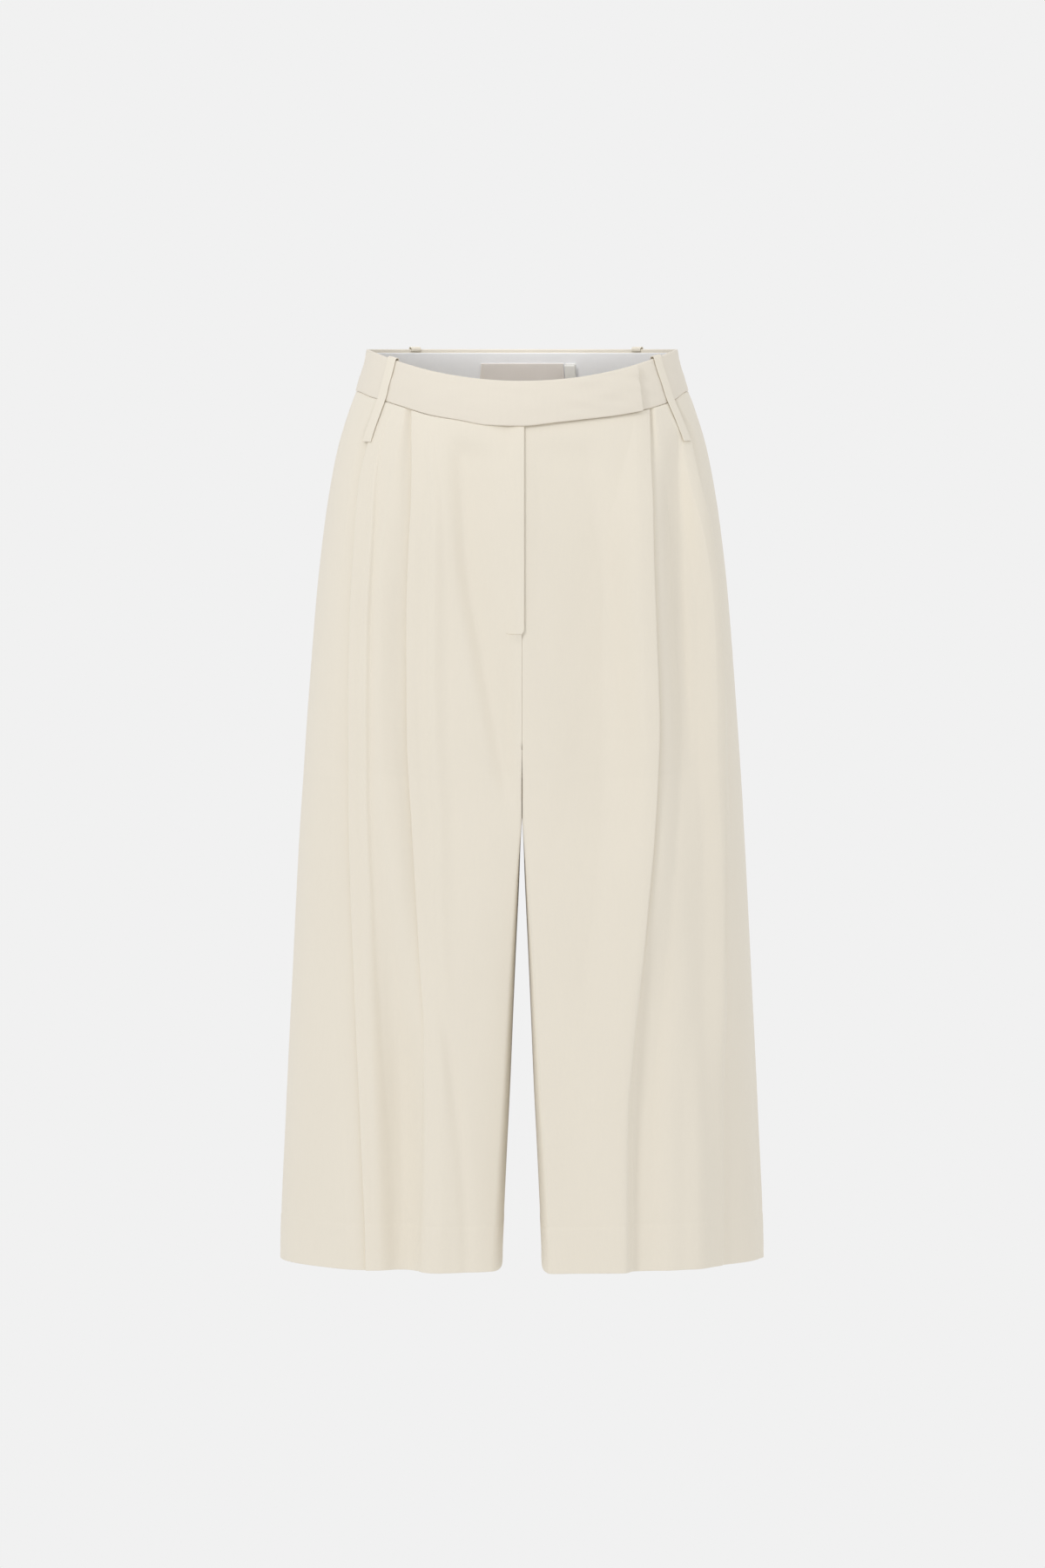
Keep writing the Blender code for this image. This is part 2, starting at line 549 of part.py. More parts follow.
def label():
    """A plain woven label on the facing."""
    far = BAND_CLOTH - BAND_PROUD + 2 * SEAM_GAP + FACING_CLOTH
    width = RINGS["half_width"][0]
    grids = [], []
    for drop in np.linspace(LABEL["top"], LABEL["bottom"], 3):
        for grid, lift in zip(grids, (-far, -far - LABEL_CLOTH), strict=True):
            angles = np.linspace(math.asin(LABEL["left"] / width), math.asin(LABEL["right"] / width), 9)
            grid.append([waist_point("back", a, drop, lift) for a in angles])
    wall("label", *grids, "label_tape")


def strip(name, run, place, width, thickness, finish):
    """A narrow strip with 3 columns: run holds (drop, lift) down its middle, place gives its points."""
    run = np.asarray(run, float)
    top, low = offset_path(run * (-1, 1), thickness)
    grids = [], []
    for grid, path in zip(grids, (top, low), strict=True):
        for (negative_drop, lift), middle in zip(path, run, strict=True):
            grid.append([place(-negative_drop, lift, middle[0], a) for a in (-width / 2, 0.0, width / 2)])
    wall(name, *grids, finish)


def belt_loop(name):
    """A long belt loop, folded over the rim and stitched down below the waist seam."""
    loop = LOOPS[name]
    part, side = loop["part"], loop["side"]
    top, bottom = math.radians(loop["top"]), math.radians(loop["bottom"])
    rim, seam = rim_drop(part, top), seam_drop(part, side * bottom)
    run = [(rim + drop, lift) for drop, lift in LOOP_OVER_RIM]
    run += [(rim + share * (seam - rim), lift) for share, lift in LOOP_ON_BAND]
    run += [(seam + share * (loop["end"] - seam), lift) for share, lift in LOOP_BELOW[part]]

    def place(drop, lift, middle, across):
        share = np.clip((middle - rim) / (loop["end"] - rim), 0, 1)
        angle = side * (top + share * (bottom - top))
        beside = angle + across / read(RINGS, "half_width", drop)
        tilt = (1 - 0.7 * share) * (rim_drop(part, beside) - rim_drop(part, angle))
        return waist_point(part, angle, drop + tilt, lift, across)

    strip(name, run, place, LOOP_WIDTH, LOOP_CLOTH, "ivory_cloth")


def size_tab():
    """A small folded tape beside the label."""
    middle = (SIZE_TAB["left"] + SIZE_TAB["right"]) / 2
    angle = math.asin(middle / RINGS["half_width"][0])

    def place(drop, lift, _, across):
        return waist_point("back", angle, drop, lift, across)

    run = [(drop, -inside) for drop, inside in SIZE_TAB_RUN]
    strip("size_tab", run, place, SIZE_TAB["right"] - SIZE_TAB["left"], LABEL_CLOTH, "white_tape")


def fly_shield():
    """The strip behind the fly opening."""
    grids = [], []
    for drop in np.linspace(FLY_SHIELD["top"], FLY_SHIELD["bottom"], 9):
        for grid, far in zip(grids, (FLY_SHIELD["inside"], FLY_SHIELD["inside"] + CLOTH), strict=True):
            row = []
            for x in np.linspace(FLY_SHIELD["left"], FLY_SHIELD["right"], 6):
                angle = math.asin(x / read(RINGS, "half_width", drop))
                side = "left" if x > 0 else "right"
                fold = relief("front", side, abs(x), drop, math.inf)
                row.append(waist_point("front", angle, drop, fold - far))
            grid.append(row)
    wall("fly_shield", *grids, "ivory_cloth")


def main():
    """Clears the scene and makes every piece."""
    for old in list(bpy.data.objects):
        bpy.data.objects.remove(old)
    for part in ("front", "back"):
        for side in ("right", "left"):
            panel(part, side)
    waistband()
    facing()
    label()
    size_tab()
    fly_shield()
    for name in LOOPS:
        belt_loop(name)


main()
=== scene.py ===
"""Pleated wide-leg culottes in ivory crepe, filled out and hollow, on a plain pale stage.

Tables and most sizes are in millimetres, and meshes are in metres. +Z is up, the front faces -Y and the
wearer's right is -X. A "drop" is a distance below the top edge of the waist, and a "lift" is a distance
outwards from the plain ring that the cloth follows.
"""

from __future__ import annotations

import logging
import math
from dataclasses import dataclass
from enum import Enum
from functools import partial

import bpy
import numpy as np
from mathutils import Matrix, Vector
from mathutils.bvhtree import BVHTree

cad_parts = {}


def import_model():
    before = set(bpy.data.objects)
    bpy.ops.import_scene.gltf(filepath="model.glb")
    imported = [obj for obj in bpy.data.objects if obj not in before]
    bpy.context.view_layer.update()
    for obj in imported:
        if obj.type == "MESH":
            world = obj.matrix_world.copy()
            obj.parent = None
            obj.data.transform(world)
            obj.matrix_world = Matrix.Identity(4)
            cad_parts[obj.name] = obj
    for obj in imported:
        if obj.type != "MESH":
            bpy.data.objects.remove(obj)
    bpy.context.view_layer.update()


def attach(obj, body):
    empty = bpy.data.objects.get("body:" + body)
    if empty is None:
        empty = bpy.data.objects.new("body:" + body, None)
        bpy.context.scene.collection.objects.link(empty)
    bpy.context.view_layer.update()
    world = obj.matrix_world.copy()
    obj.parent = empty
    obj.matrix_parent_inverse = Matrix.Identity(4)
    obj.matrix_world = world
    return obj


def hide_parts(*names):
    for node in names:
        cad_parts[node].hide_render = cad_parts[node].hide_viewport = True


log = logging.getLogger("culottes")

MM = 0.001
BODY = "root"
WAVE_PERIOD = 0.314  # a wave texture of scale 1 repeats at this distance
Array = np.ndarray
Socket = bpy.types.NodeSocket
Source = Socket | float | tuple[float, ...]
Keys = tuple[tuple[float, float], ...]


class Part(Enum):
    """Which half of the garment a piece belongs to. The value is the sign of its Y."""

    FRONT = -1
    BACK = 1

    @property
    def column(self) -> str:
        """The name of its column in the tables."""
        return self.name.lower()


class Side(Enum):
    """Which leg a piece belongs to, as the wearer sees it. The value is the sign of its X."""

    RIGHT = -1
    LEFT = 1


class Table:
    """Named columns of numbers, read as smooth curves over the first one."""

    def __init__(self, at: tuple[float, ...], **columns: tuple[float, ...]) -> None:
        """Keeps the columns."""
        self.at = np.asarray(at, float)
        self.columns = {name: np.asarray(values, float) for name, values in columns.items()}

    def read(self, column: str, at: Array | float) -> Array:
        """One column along a curve with no overshoot, flat beyond both ends.

        Args:
            column: The column's name.
            at: Where to read it.

        Returns:
            The values there.
        """
        x, y = self.at, self.columns[column]
        at = np.clip(np.asarray(at, float), x[0], x[-1])
        step = np.diff(x)
        slope = np.diff(y) / step
        product = slope[:-1] * slope[1:]
        total = np.where(product > 0, slope[:-1] + slope[1:], 1.0)
        tangent = np.zeros_like(y)
        tangent[1:-1] = np.where(product > 0, 2 * product / total, 0.0)
        i = np.clip(np.searchsorted(x, at) - 1, 0, len(step) - 1)
        t = (at - x[i]) / step[i]
        start = y[i] * (1 + 2 * t) * (1 - t) ** 2 + step[i] * tangent[i] * t * (1 - t) ** 2
        return start + y[i + 1] * t**2 * (3 - 2 * t) + step[i] * tangent[i + 1] * t**2 * (t - 1)


def ease(t: Array | float) -> Array:
    """0 to 1 with soft ends."""
    t = np.clip(t, 0.0, 1.0)
    return t * t * (3 - 2 * t)


def bell(away: Array, width: Array | float) -> Array:
    """1 at a place, softly down to 0 on both sides of it."""
    return np.exp(-((away / width) ** 2))


def near(distance: Array, reach: float) -> Array:
    """1 at an edge, down to 0 with a soft end."""
    return np.clip(1 - distance / reach, 0, 1) ** 2


@dataclass(frozen=True)
class Waves:
    """Gentle uneven waves in cloth: about how high they are, and their typical lengths across and down."""

    height: float
    across: float
    down: float

    def at(self, u: Array, v: Array, seed: int) -> Array:
        """How high they are at a place.

        Args:
            u: Places across.
            v: Places down.
            seed: Which waves.

        Returns:
            The heights.
        """
        rng = np.random.default_rng(seed)
        total = np.zeros(np.broadcast(u, v).shape)
        for _ in range(6):
            a, b = rng.uniform(0.5, 1.5, 2) * rng.choice((-1, 1), 2)
            phase = 2 * math.pi * (a * u / self.across + b * v / self.down)
            total = total + np.sin(phase + rng.uniform(0, 6.3))
        return self.height * (total / 3.0)


PANEL_WAVES = Waves(0.35, across=90.0, down=420.0)
PANEL_RIPPLES = Waves(0.12, across=30.0, down=160.0)
SEAM_PUCKER = Waves(0.10, across=11.0, down=1.0)
BAND_RIPPLES = Waves(0.16, across=46.0, down=15.0)
BAND_WAVES = Waves(0.10, across=120.0, down=22.0)
PATCH_WAVES = Waves(0.05, across=30.0, down=20.0)


@dataclass(frozen=True)
class Cut:
    """The garment's cut and its cloth, in millimetres."""

    length: float = 795.0
    cloth: float = 1.0
    hem_extra: float = 0.8
    hem_depth: float = 40.0
    seam_gap: float = 0.3
    band_height: float = 36.5
    band_cloth: float = 2.4
    band_proud: float = 0.6
    rim_dip: float = 27.0
    dip_ends: float = 205.0
    waist_half: float = 135.0
    crotch: float = 368.0
    front_rise: float = 338.0
    back_rise: float = 300.0
    legs_part: float = 410.0
    sag_reach: float = 44.0
    hang_reach: float = 75.0
    hang_right: float = 1.0
    hang_left: float = -0.35
    fly_bottom: float = 243.0
    fly_step: float = 2.5
    fly_lap: float = 1.8
    fly_reach: float = 13.0
    fly_blend: float = 9.0
    tab_reach: float = 102.0
    tab_lift: float = 3.4
    tab_end_lift: float = 1.2
    underlap_start: float = 6.0
    leg_middle: float = 110.0
    row_step: float = 5.0


CUT = Cut()

# The outer rings at each drop: half the width, depth in front of and behind the side seams, and how full
# the outer quarters are (1 is an ellipse, less is fuller).
RINGS = Table(
    (0, 36.5, 50, 83, 120, 151, 212, 303, 425, 546, 668, 795),
    half_width=(135, 144.5, 149.5, 159.7, 167.2, 172, 179, 186.2, 194.3, 200.7, 207, 211.9),
    front=(92, 99, 102, 107, 111, 114, 117, 118, 117, 116, 114, 112),
    back=(95, 103, 106, 113, 120, 126, 133, 131, 123, 117, 113, 111),
    front_taper=(1, 1, 0.95, 0.8, 0.7, 0.65, 0.61, 0.61, 0.67, 0.8, 0.94, 1.06),
    back_taper=(1, 1, 1, 1, 1, 1, 1, 1.02, 1.07, 1.12, 1.17, 1.22),
)
# The inner side of each leg at each drop: where its front and back are deepest, its inner edge, how square
# its corners are (less is squarer), and how far its front sags and hangs back towards the inner edge.
LEGS = Table(
    (225, 275, 300, 350, 404, 413, 434, 455, 516, 577, 638, 698, 759, 793),
    front=(0.2, 0.25, 0.3, 0.35, 0.4, 1, 2.8, 4.4, 8.6, 12.4, 16, 20, 23.6, 25.6),
    back=(0.2, 2, 4, 8, 13, 14, 17, 20, 28, 34, 39, 43, 46, 48),
    inner=(0.15, 0.15, 0.15, 0.15, 0.15, 0.5, 1.5, 2.2, 5, 7.7, 10.2, 13.2, 16, 17.2),
    square=(1, 1, 0.9, 0.8, 0.72, 0.7, 0.65, 0.6, 0.52, 0.48, 0.46, 0.45, 0.45, 0.45),
    sag=(0, 0.4, 0.7, 1, 1.4, 1.5, 1.7, 2, 2.8, 3.4, 3.8, 4.2, 4.5, 4.6),
    hang=(0, 0, 0, 0, 0, 0.3, 2.4, 4, 8, 11, 13, 14.5, 15.5, 16),
)
# The dart of each back at each drop: its place, the depth of its seam and of the hollow round it.
DART = Table(
    (0, 36.5, 90, 130, 160, 795),
    x=(64, 66, 67, 68, 68, 76),
    depth=(0.45, 0.45, 0.4, 0.2, 0, 0),
    hollow=(0, 0.5, 1.6, 2.2, 1.2, 0),
)
# How much lower than at the side seams the front waist seam runs, at a share of the half width.
SEAM_DIP = Table(
    (0, 0.19, 0.35, 0.52, 0.69, 0.81, 0.9, 1),
    RIGHT=(29, 28.3, 24.3, 20, 12.8, 7.8, 4.4, 0),
    LEFT=(29, 26, 23.3, 20.4, 15.9, 11.4, 7, 0),
)


@dataclass(frozen=True)
class Fold:
    """A soft trough or ridge: its path down the panel, its depth (a ridge's is negative) and its reach
    towards the middle and towards the side."""

    drop: tuple[float, ...]
    x: tuple[float, ...]
    depth: tuple[float, ...]
    inward: float
    outward: float

    def height(self, x: Array, drop: Array) -> Array:
        """How far the fold moves the cloth outwards.

        Args:
            x: Distance from the middle.
            drop: Drop below the waist.

        Returns:
            The height, negative in a trough.
        """
        table = Table(self.drop, x=self.x, depth=self.depth)
        away = x - table.read("x", drop)
        reach = np.where(away < 0, self.inward, self.outward)
        return -table.read("depth", drop) * bell(away, reach)


FOLDS: dict[tuple[Part, Side], tuple[Fold, ...]] = {
    (Part.FRONT, Side.RIGHT): (
        Fold((58, 98, 174, 250, 303, 364, 410), x=(54, 52, 48, 36, 26, 15, 6),
             depth=(0, 7, 9, 9, 7.6, 5, 0), inward=26, outward=9),
        Fold((70, 150, 230, 300, 400), x=(120, 117, 115, 114, 114),
             depth=(0, 1.4, 1.6, 1.4, 0), inward=8, outward=12),
        Fold((380, 435, 548, 623, 698, 793), x=(128, 126, 116, 109, 107, 107),
             depth=(0, 3.5, 10, 14, 15, 15), inward=16, outward=17),
        Fold((470, 560, 640, 793), x=(92, 85, 81, 77),
             depth=(0, -3, -4.4, -4.4), inward=34, outward=10),
        Fold((480, 540, 590, 640, 700, 793), x=(78, 72, 65, 58, 52, 48),
             depth=(0, 1.8, 2.6, 2.6, 2.2, 2), inward=6, outward=5),
        Fold((480, 600, 700, 793), x=(158, 152, 148, 146),
             depth=(0, -2.4, -3, -3), inward=16, outward=22),
    ),
    (Part.FRONT, Side.LEFT): (
        Fold((60, 100, 174, 250, 330, 400, 470), x=(46, 55, 66, 75, 82, 86, 86),
             depth=(0, 5.5, 7, 7.4, 6.6, 4, 0), inward=46, outward=15),
        Fold((60, 100, 150, 220, 290, 340, 400), x=(136, 139, 139, 138, 141, 144, 146),
             depth=(0, 5, 6.4, 6.4, 5.4, 3, 0), inward=15, outward=8),
        Fold((360, 440, 520, 620, 700, 793), x=(128, 132, 136, 142, 146, 148),
             depth=(0, -2.5, -4, -4.4, -4.4, -4.4), inward=18, outward=14),
        Fold((470, 560, 640, 720, 793), x=(114, 105, 101, 99, 99),
             depth=(0, 4.4, 7, 7.6, 7.6), inward=7, outward=20),
        Fold((540, 620, 700, 793), x=(142, 141, 141, 142),
             depth=(0, 2.6, 3.6, 3.6), inward=9, outward=8),
        Fold((560, 640, 720, 793), x=(178, 178, 179, 180),
             depth=(0, 5, 7, 8), inward=15, outward=30),
    ),
    (Part.BACK, Side.RIGHT): (
        Fold((200, 300, 420, 600, 793), x=(62, 64, 66, 64, 60),
             depth=(0, 2.6, 4.4, 5.6, 6), inward=18, outward=20),
        Fold((300, 420, 600, 793), x=(118, 124, 126, 124),
             depth=(0, 3, 4.6, 5), inward=18, outward=18),
        Fold((260, 340, 430, 520), x=(26, 30, 38, 44),
             depth=(0, 2.4, 2.4, 0), inward=12, outward=14),
    ),
    (Part.BACK, Side.LEFT): (
        Fold((230, 330, 450, 620, 793), x=(70, 70, 68, 72, 76),
             depth=(0, 3, 4.8, 5.6, 5.6), inward=20, outward=18),
        Fold((280, 400, 600, 793), x=(126, 130, 134, 138),
             depth=(0, 2.6, 4.2, 4.6), inward=16, outward=18),
        Fold((260, 340, 430, 520), x=(24, 28, 36, 42),
             depth=(0, 2, 2.2, 0), inward=12, outward=14),
    ),
}

# Each leg's two pleats, down the drops of the folded edge: x of the edge, how far the cloth goes under it,
# how high the edge stands, how far the cloth outside it is sunk, how far it has opened, how far its slopes
# reach towards the middle and the side, and the height and place of the swelling before it.
PLEATS: dict[Side, tuple[Table, Table]] = {
    Side.RIGHT: (
        Table(
            (50, 119, 172, 231, 330, 404, 464, 524, 583, 673, 790),
            x=(91, 94, 98, 100, 99.5, 95.5, 92, 88, 84, 84.5, 88),
            under=(10, 10, 9, 8, 7, 7, 6, 5, 4, 4, 4),
            height=(3.6, 4, 4.4, 4.8, 5, 5, 4.8, 4.4, 4, 3.4, 3.4),
            sink=(4, 5, 6, 6.4, 6.4, 6, 5, 4, 3, 2.4, 2.4),
            open=(0, 0, 0, 0, 0, 0, 0.3, 0.55, 0.75, 0.9, 1),
            before=(6, 20, 30, 36, 38, 38, 38, 36, 34, 32, 32),
            after=(8, 20, 24, 24, 25, 25, 24, 24, 22, 20, 20),
            crest=(0, 2, 4.4, 5.4, 5.6, 5, 4, 3, 2, 1.2, 1),
            crest_at=(5, 9, 13, 15, 16, 16, 16, 15, 14, 13, 13),
        ),
        Table(
            (40, 78, 112, 172, 232, 323, 405, 473, 548, 698, 792),
            x=(118, 130, 138.5, 144, 147.5, 149, 149, 147.5, 144, 137, 134),
            under=(9, 9, 9, 8, 7, 6, 6, 5, 4, 4, 4),
            height=(3.6, 3.6, 3.6, 3.6, 3.6, 3.6, 3.6, 3.6, 3.6, 3.6, 3.8),
            sink=(0, 0.6, 1, 1.4, 1.6, 1.6, 1.4, 1.2, 1, 1, 1),
            open=(0, 0, 0, 0, 0, 0, 0, 0, 0.3, 0.6, 0.75),
            before=(1, 5, 8, 10, 12, 13, 13, 14, 16, 20, 22),
            after=(8, 11, 12, 14, 18, 20, 20, 20, 20, 20, 20),
            crest=(0, 0.6, 1.6, 2.6, 3, 3, 3, 2.6, 2.2, 1.8, 1.6),
            crest_at=(1, 3, 5, 8, 9, 10, 10, 10, 10, 10, 10),
        ),
    ),
    Side.LEFT: (
        Table(
            (55, 112, 164, 231, 329, 374, 426, 479, 539, 606, 658, 790),
            x=(105.3, 107.6, 109, 111.3, 114.3, 112.8, 109.8, 105.3, 100.8, 94.8, 91.8, 91.8),
            under=(10, 10, 10, 10, 9, 8, 7, 6, 5, 4, 4, 4),
            height=(3.6, 3.8, 4.2, 4.4, 4.6, 4.6, 4.6, 4.6, 4.4, 4.2, 4, 4),
            sink=(0, -3.5, -6.5, -8, -8.4, -8.4, -8, -7, -5.4, -4, -3, -2.4),
            open=(0, 0, 0, 0, 0, 0, 0.1, 0.4, 0.6, 0.8, 0.92, 1),
            before=(6, 18, 26, 32, 36, 36, 38, 42, 46, 48, 48, 48),
            after=(6, 16, 22, 24, 25, 25, 24, 24, 24, 24, 24, 24),
            crest=(0,) * 12,
            crest_at=(5,) * 12,
        ),
        Table(
            (41, 78, 120, 157, 202, 247, 300, 360, 435, 495, 600, 788),
            x=(126, 144, 151.4, 159, 165, 168, 170.3, 171, 172.2, 172.9, 174.8, 178.6),
            under=(9, 9, 9, 9, 8, 8, 8, 7, 5, 4, 4, 4),
            height=(3.6, 3.8, 4.2, 4.4, 4.6, 4.8, 4.8, 4.6, 4.2, 3.6, 3.2, 2.8),
            sink=(0, -1, -2, -2.6, -3, -3, -3, -2.6, -2, -1.2, -0.6, 0),
            open=(0, 0, 0, 0, 0, 0, 0, 0.05, 0.4, 0.8, 1, 1),
            before=(0.5, 5, 9, 13, 15, 16, 17, 17, 18, 20, 20, 20),
            after=(8, 11, 12, 12, 12, 12, 12, 12, 14, 16, 17, 17),
            crest=(0,) * 12,
            crest_at=(5,) * 12,
        ),
    ),
}


def near_edges(start: float, end: float, count: int, close: tuple[float, ...]) -> Array:
    """Even places with some more close to both ends.

    Args:
        start: First place.
        end: Last place.
        count: How many even steps lie between.
        close: Distances from each end of the places added there.

    Returns:
        The places, rising.
    """
    near = np.asarray(close)
    middle = np.linspace(start + near[-1], end - near[-1], count + 1)[1:-1]
    return np.concatenate([[start], start + near, middle, end - near[::-1], [end]])


def panel_rows() -> Array:
    """Drops of the rows of every panel, closer together at its edges, the hem line and the crotch.

    Returns:
        The drops, rising.
    """
    top = CUT.band_height + 0.3
    return np.unique(np.concatenate([
        near_edges(top, CUT.length, int((CUT.length - top) / CUT.row_step), (0.2, 0.5, 1.0, 2.2)),
        CUT.length - CUT.hem_depth + np.array([-2.0, -0.8, 0.8, 2.0]),
        CUT.fly_bottom + np.array([-2.0, -0.7, 0.7, 2.0]),
        CUT.crotch - np.array([0.0, 0.4, 1.2, 2.5, 4.5, 7.0, 10.0, 14.0]),
    ]))


class Form:
    """The plain rings of the garment, worked out once on a grid of drops and shares of a quarter ring."""

    drop_step = 2.0
    shares = 640
    fine = 128

    def __init__(self) -> None:
        """Works out the rings of the front and the back."""
        even = np.arange(0.0, CUT.length + 4.0, self.drop_step)
        self.drops = np.unique(np.concatenate([even, panel_rows()]))
        self.grids = {part: self._rings(part) for part in Part}

    def outline(self, part: Part, drop: float) -> tuple[Array, Array, Array]:
        """A quarter ring in plan, from the centre edge to the side seam.

        Args:
            part: Front or back.
            drop: Drop of the ring.

        Returns:
            Distances along it, x, and depth from the side seams.
        """
        name, gap = part.column, CUT.seam_gap / 2
        depth, width = RINGS.read(name, drop), RINGS.read("half_width", drop)
        rise = CUT.front_rise if part is Part.FRONT else CUT.back_rise
        fall = np.clip((drop - rise) / (CUT.crotch - rise), 0.0, 1.0)
        edge = max(gap, depth * math.sqrt(1 - fall**2))
        inner = LEGS.read("inner", drop)
        crest = max(LEGS.read(name, drop), inner)
        turn = np.linspace(0, math.pi / 2, self.fine)
        sine, cosine = np.sin(turn), np.maximum(np.cos(turn), 0.0)
        x_in = crest - (crest - inner) * sine[::-1]
        y_in = edge + (depth - edge) * cosine[::-1] ** LEGS.read("square", drop)
        x_out = crest + (width - crest) * sine[1:]
        y_out = gap + (depth - gap) * cosine[1:] ** RINGS.read(f"{name}_taper", drop)
        x, y = np.concatenate([x_in, x_out]), np.concatenate([y_in, y_out])
        if part is Part.FRONT:
            y = y - LEGS.read("sag", drop) * near(x, CUT.sag_reach) * y / depth
        return np.concatenate([[0.0], np.cumsum(np.hypot(np.diff(x), np.diff(y)))]), x, y

    def _rings(self, part: Part) -> dict[str, Array]:
        """The part's rings sampled at even shares.

        Args:
            part: Front or back.

        Returns:
            Grids of x, y and the outward normal, and the length of each ring.
        """
        share = np.linspace(0, 1, self.shares)
        xs, ys, lengths = [], [], []
        for drop in self.drops:
            run, x, y = self.outline(part, drop)
            xs.append(np.interp(share * run[-1], run, x))
            ys.append(np.interp(share * run[-1], run, y))
            lengths.append(run[-1])
        x, y = np.array(xs), np.array(ys)
        along_x, along_y = np.gradient(x, axis=1), np.gradient(y, axis=1)
        size = np.hypot(along_x, along_y)
        return {"x": x, "y": y, "nx": -along_y / size, "ny": along_x / size, "length": np.array(lengths)}

    def length(self, part: Part, drop: Array) -> Array:
        """How long a quarter ring is."""
        return np.interp(drop, self.drops, self.grids[part]["length"])

    def row(self, part: Part, drop: float) -> tuple[Array, Array, Array]:
        """A quarter ring as the grid holds it.

        Args:
            part: Front or back.
            drop: Drop of the ring.

        Returns:
            Distances along it, x, and depth from the side seams.
        """
        share = np.linspace(0, 1, self.shares)
        x, y = self.read(part, "x y", share, np.full(self.shares, drop))
        return share * self.length(part, drop), x, y

    def read(self, part: Part, names: str, share: Array, drop: Array) -> list[Array]:
        """Reads grids between their points.

        Args:
            part: Front or back.
            names: The grids' names, with a space between.
            share: Shares along the quarter ring.
            drop: Drops.

        Returns:
            One array for each name.
        """
        i0 = np.clip(np.searchsorted(self.drops, drop, side="right") - 1, 0, len(self.drops) - 2)
        f = (drop - self.drops[i0]) / (self.drops[i0 + 1] - self.drops[i0])
        j = np.clip(share, 0, 1) * (self.shares - 1)
        j0 = np.minimum(j.astype(int), self.shares - 2)
        g = j - j0
        found = []
        for name in names.split():
            grid = self.grids[part][name]
            low = grid[i0, j0] * (1 - g) + grid[i0, j0 + 1] * g
            high = grid[i0 + 1, j0] * (1 - g) + grid[i0 + 1, j0 + 1] * g
            found.append(low * (1 - f) + high * f)
        return found

    @staticmethod
    def rim_drop(part: Part, angle: Array | float) -> Array:
        """Drop of the waistband's top edge: level behind, dipping to the middle in front."""
        return (CUT.rim_dip if part is Part.FRONT else 0.0) * np.cos(angle) ** 2

    @staticmethod
    def seam_drop(part: Part, angle: Array | float) -> Array:
        """Drop of the waist seam under the band.

        Args:
            part: Front or back.
            angle: Angle from the middle, positive on the wearer's left.

        Returns:
            The drop.
        """
        if part is Part.BACK:
            return CUT.band_height + 0 * np.asarray(angle, float)
        share = np.abs(np.sin(angle))
        dip = np.where(np.asarray(angle) > 0, SEAM_DIP.read("LEFT", share), SEAM_DIP.read("RIGHT", share))
        return CUT.band_height + dip

    @staticmethod
    def waist_point(part: Part, angle: Array, drop: Array, lift: Array, across: Array | float = 0.0) -> Array:
        """Points near the waist, at an angle from the middle of the front or the back.

        Args:
            part: Front or back.
            angle: Angle, positive on the wearer's left.
            drop: Drop.
            lift: Distance outwards from the ring.
            across: Distance along the ring from the angle.

        Returns:
            Points in metres.
        """
        width, depth = RINGS.read("half_width", drop), RINGS.read(part.column, drop)
        sine, cosine = np.sin(angle), np.cos(angle)
        out_x, out_y = sine / width, cosine / depth
        size = np.hypot(out_x, out_y)
        out_x, out_y = out_x / size, out_y / size
        x = width * sine + out_x * lift + out_y * across
        y = depth * cosine + out_y * lift - out_x * across
        return np.stack(np.broadcast_arrays(x, part.value * y, -np.asarray(drop, float)), -1) * MM


FORM = Form()


def feed(node: bpy.types.Node, sources: dict[str, Source]) -> None:
    """Joins a node's inputs to other nodes or gives them values.

    Args:
        node: The node.
        sources: What each input gets, under its name or its number.
    """
    for name, source in sources.items():
        socket = node.inputs[int(name)] if name.isdigit() else node.inputs[name]
        if isinstance(source, Socket):
            node.id_data.links.new(source, socket)
        else:
            socket.default_value = source


def add_node(
    tree: bpy.types.NodeTree, kind: str, sources: dict[str, Source], **settings: str
) -> bpy.types.Node:
    """Adds a node to a tree.

    Args:
        tree: The tree.
        kind: The node's type.
        sources: What each of its inputs gets, under its name or its number.
        **settings: Its other settings.

    Returns:
        The node.
    """
    made = tree.nodes.new(kind)
    for name, value in settings.items():
        setattr(made, name, value)
    feed(made, sources)
    return made


def new_material(name: str) -> tuple[bpy.types.Material, bpy.types.Node]:
    """Makes a node material.

    Args:
        name: Its name.

    Returns:
        The material and its shader.
    """
    made = bpy.data.materials.new(name)
    made.use_nodes = True
    return made, made.node_tree.nodes["Principled BSDF"]


def new_object(name: str, data: bpy.types.ID) -> bpy.types.Object:
    """Makes an object and puts it in the scene.

    Args:
        name: Its name.
        data: Its mesh, light or camera.

    Returns:
        The object.
    """
    made = bpy.data.objects.new(name, data)
    bpy.context.scene.collection.objects.link(made)
    return made


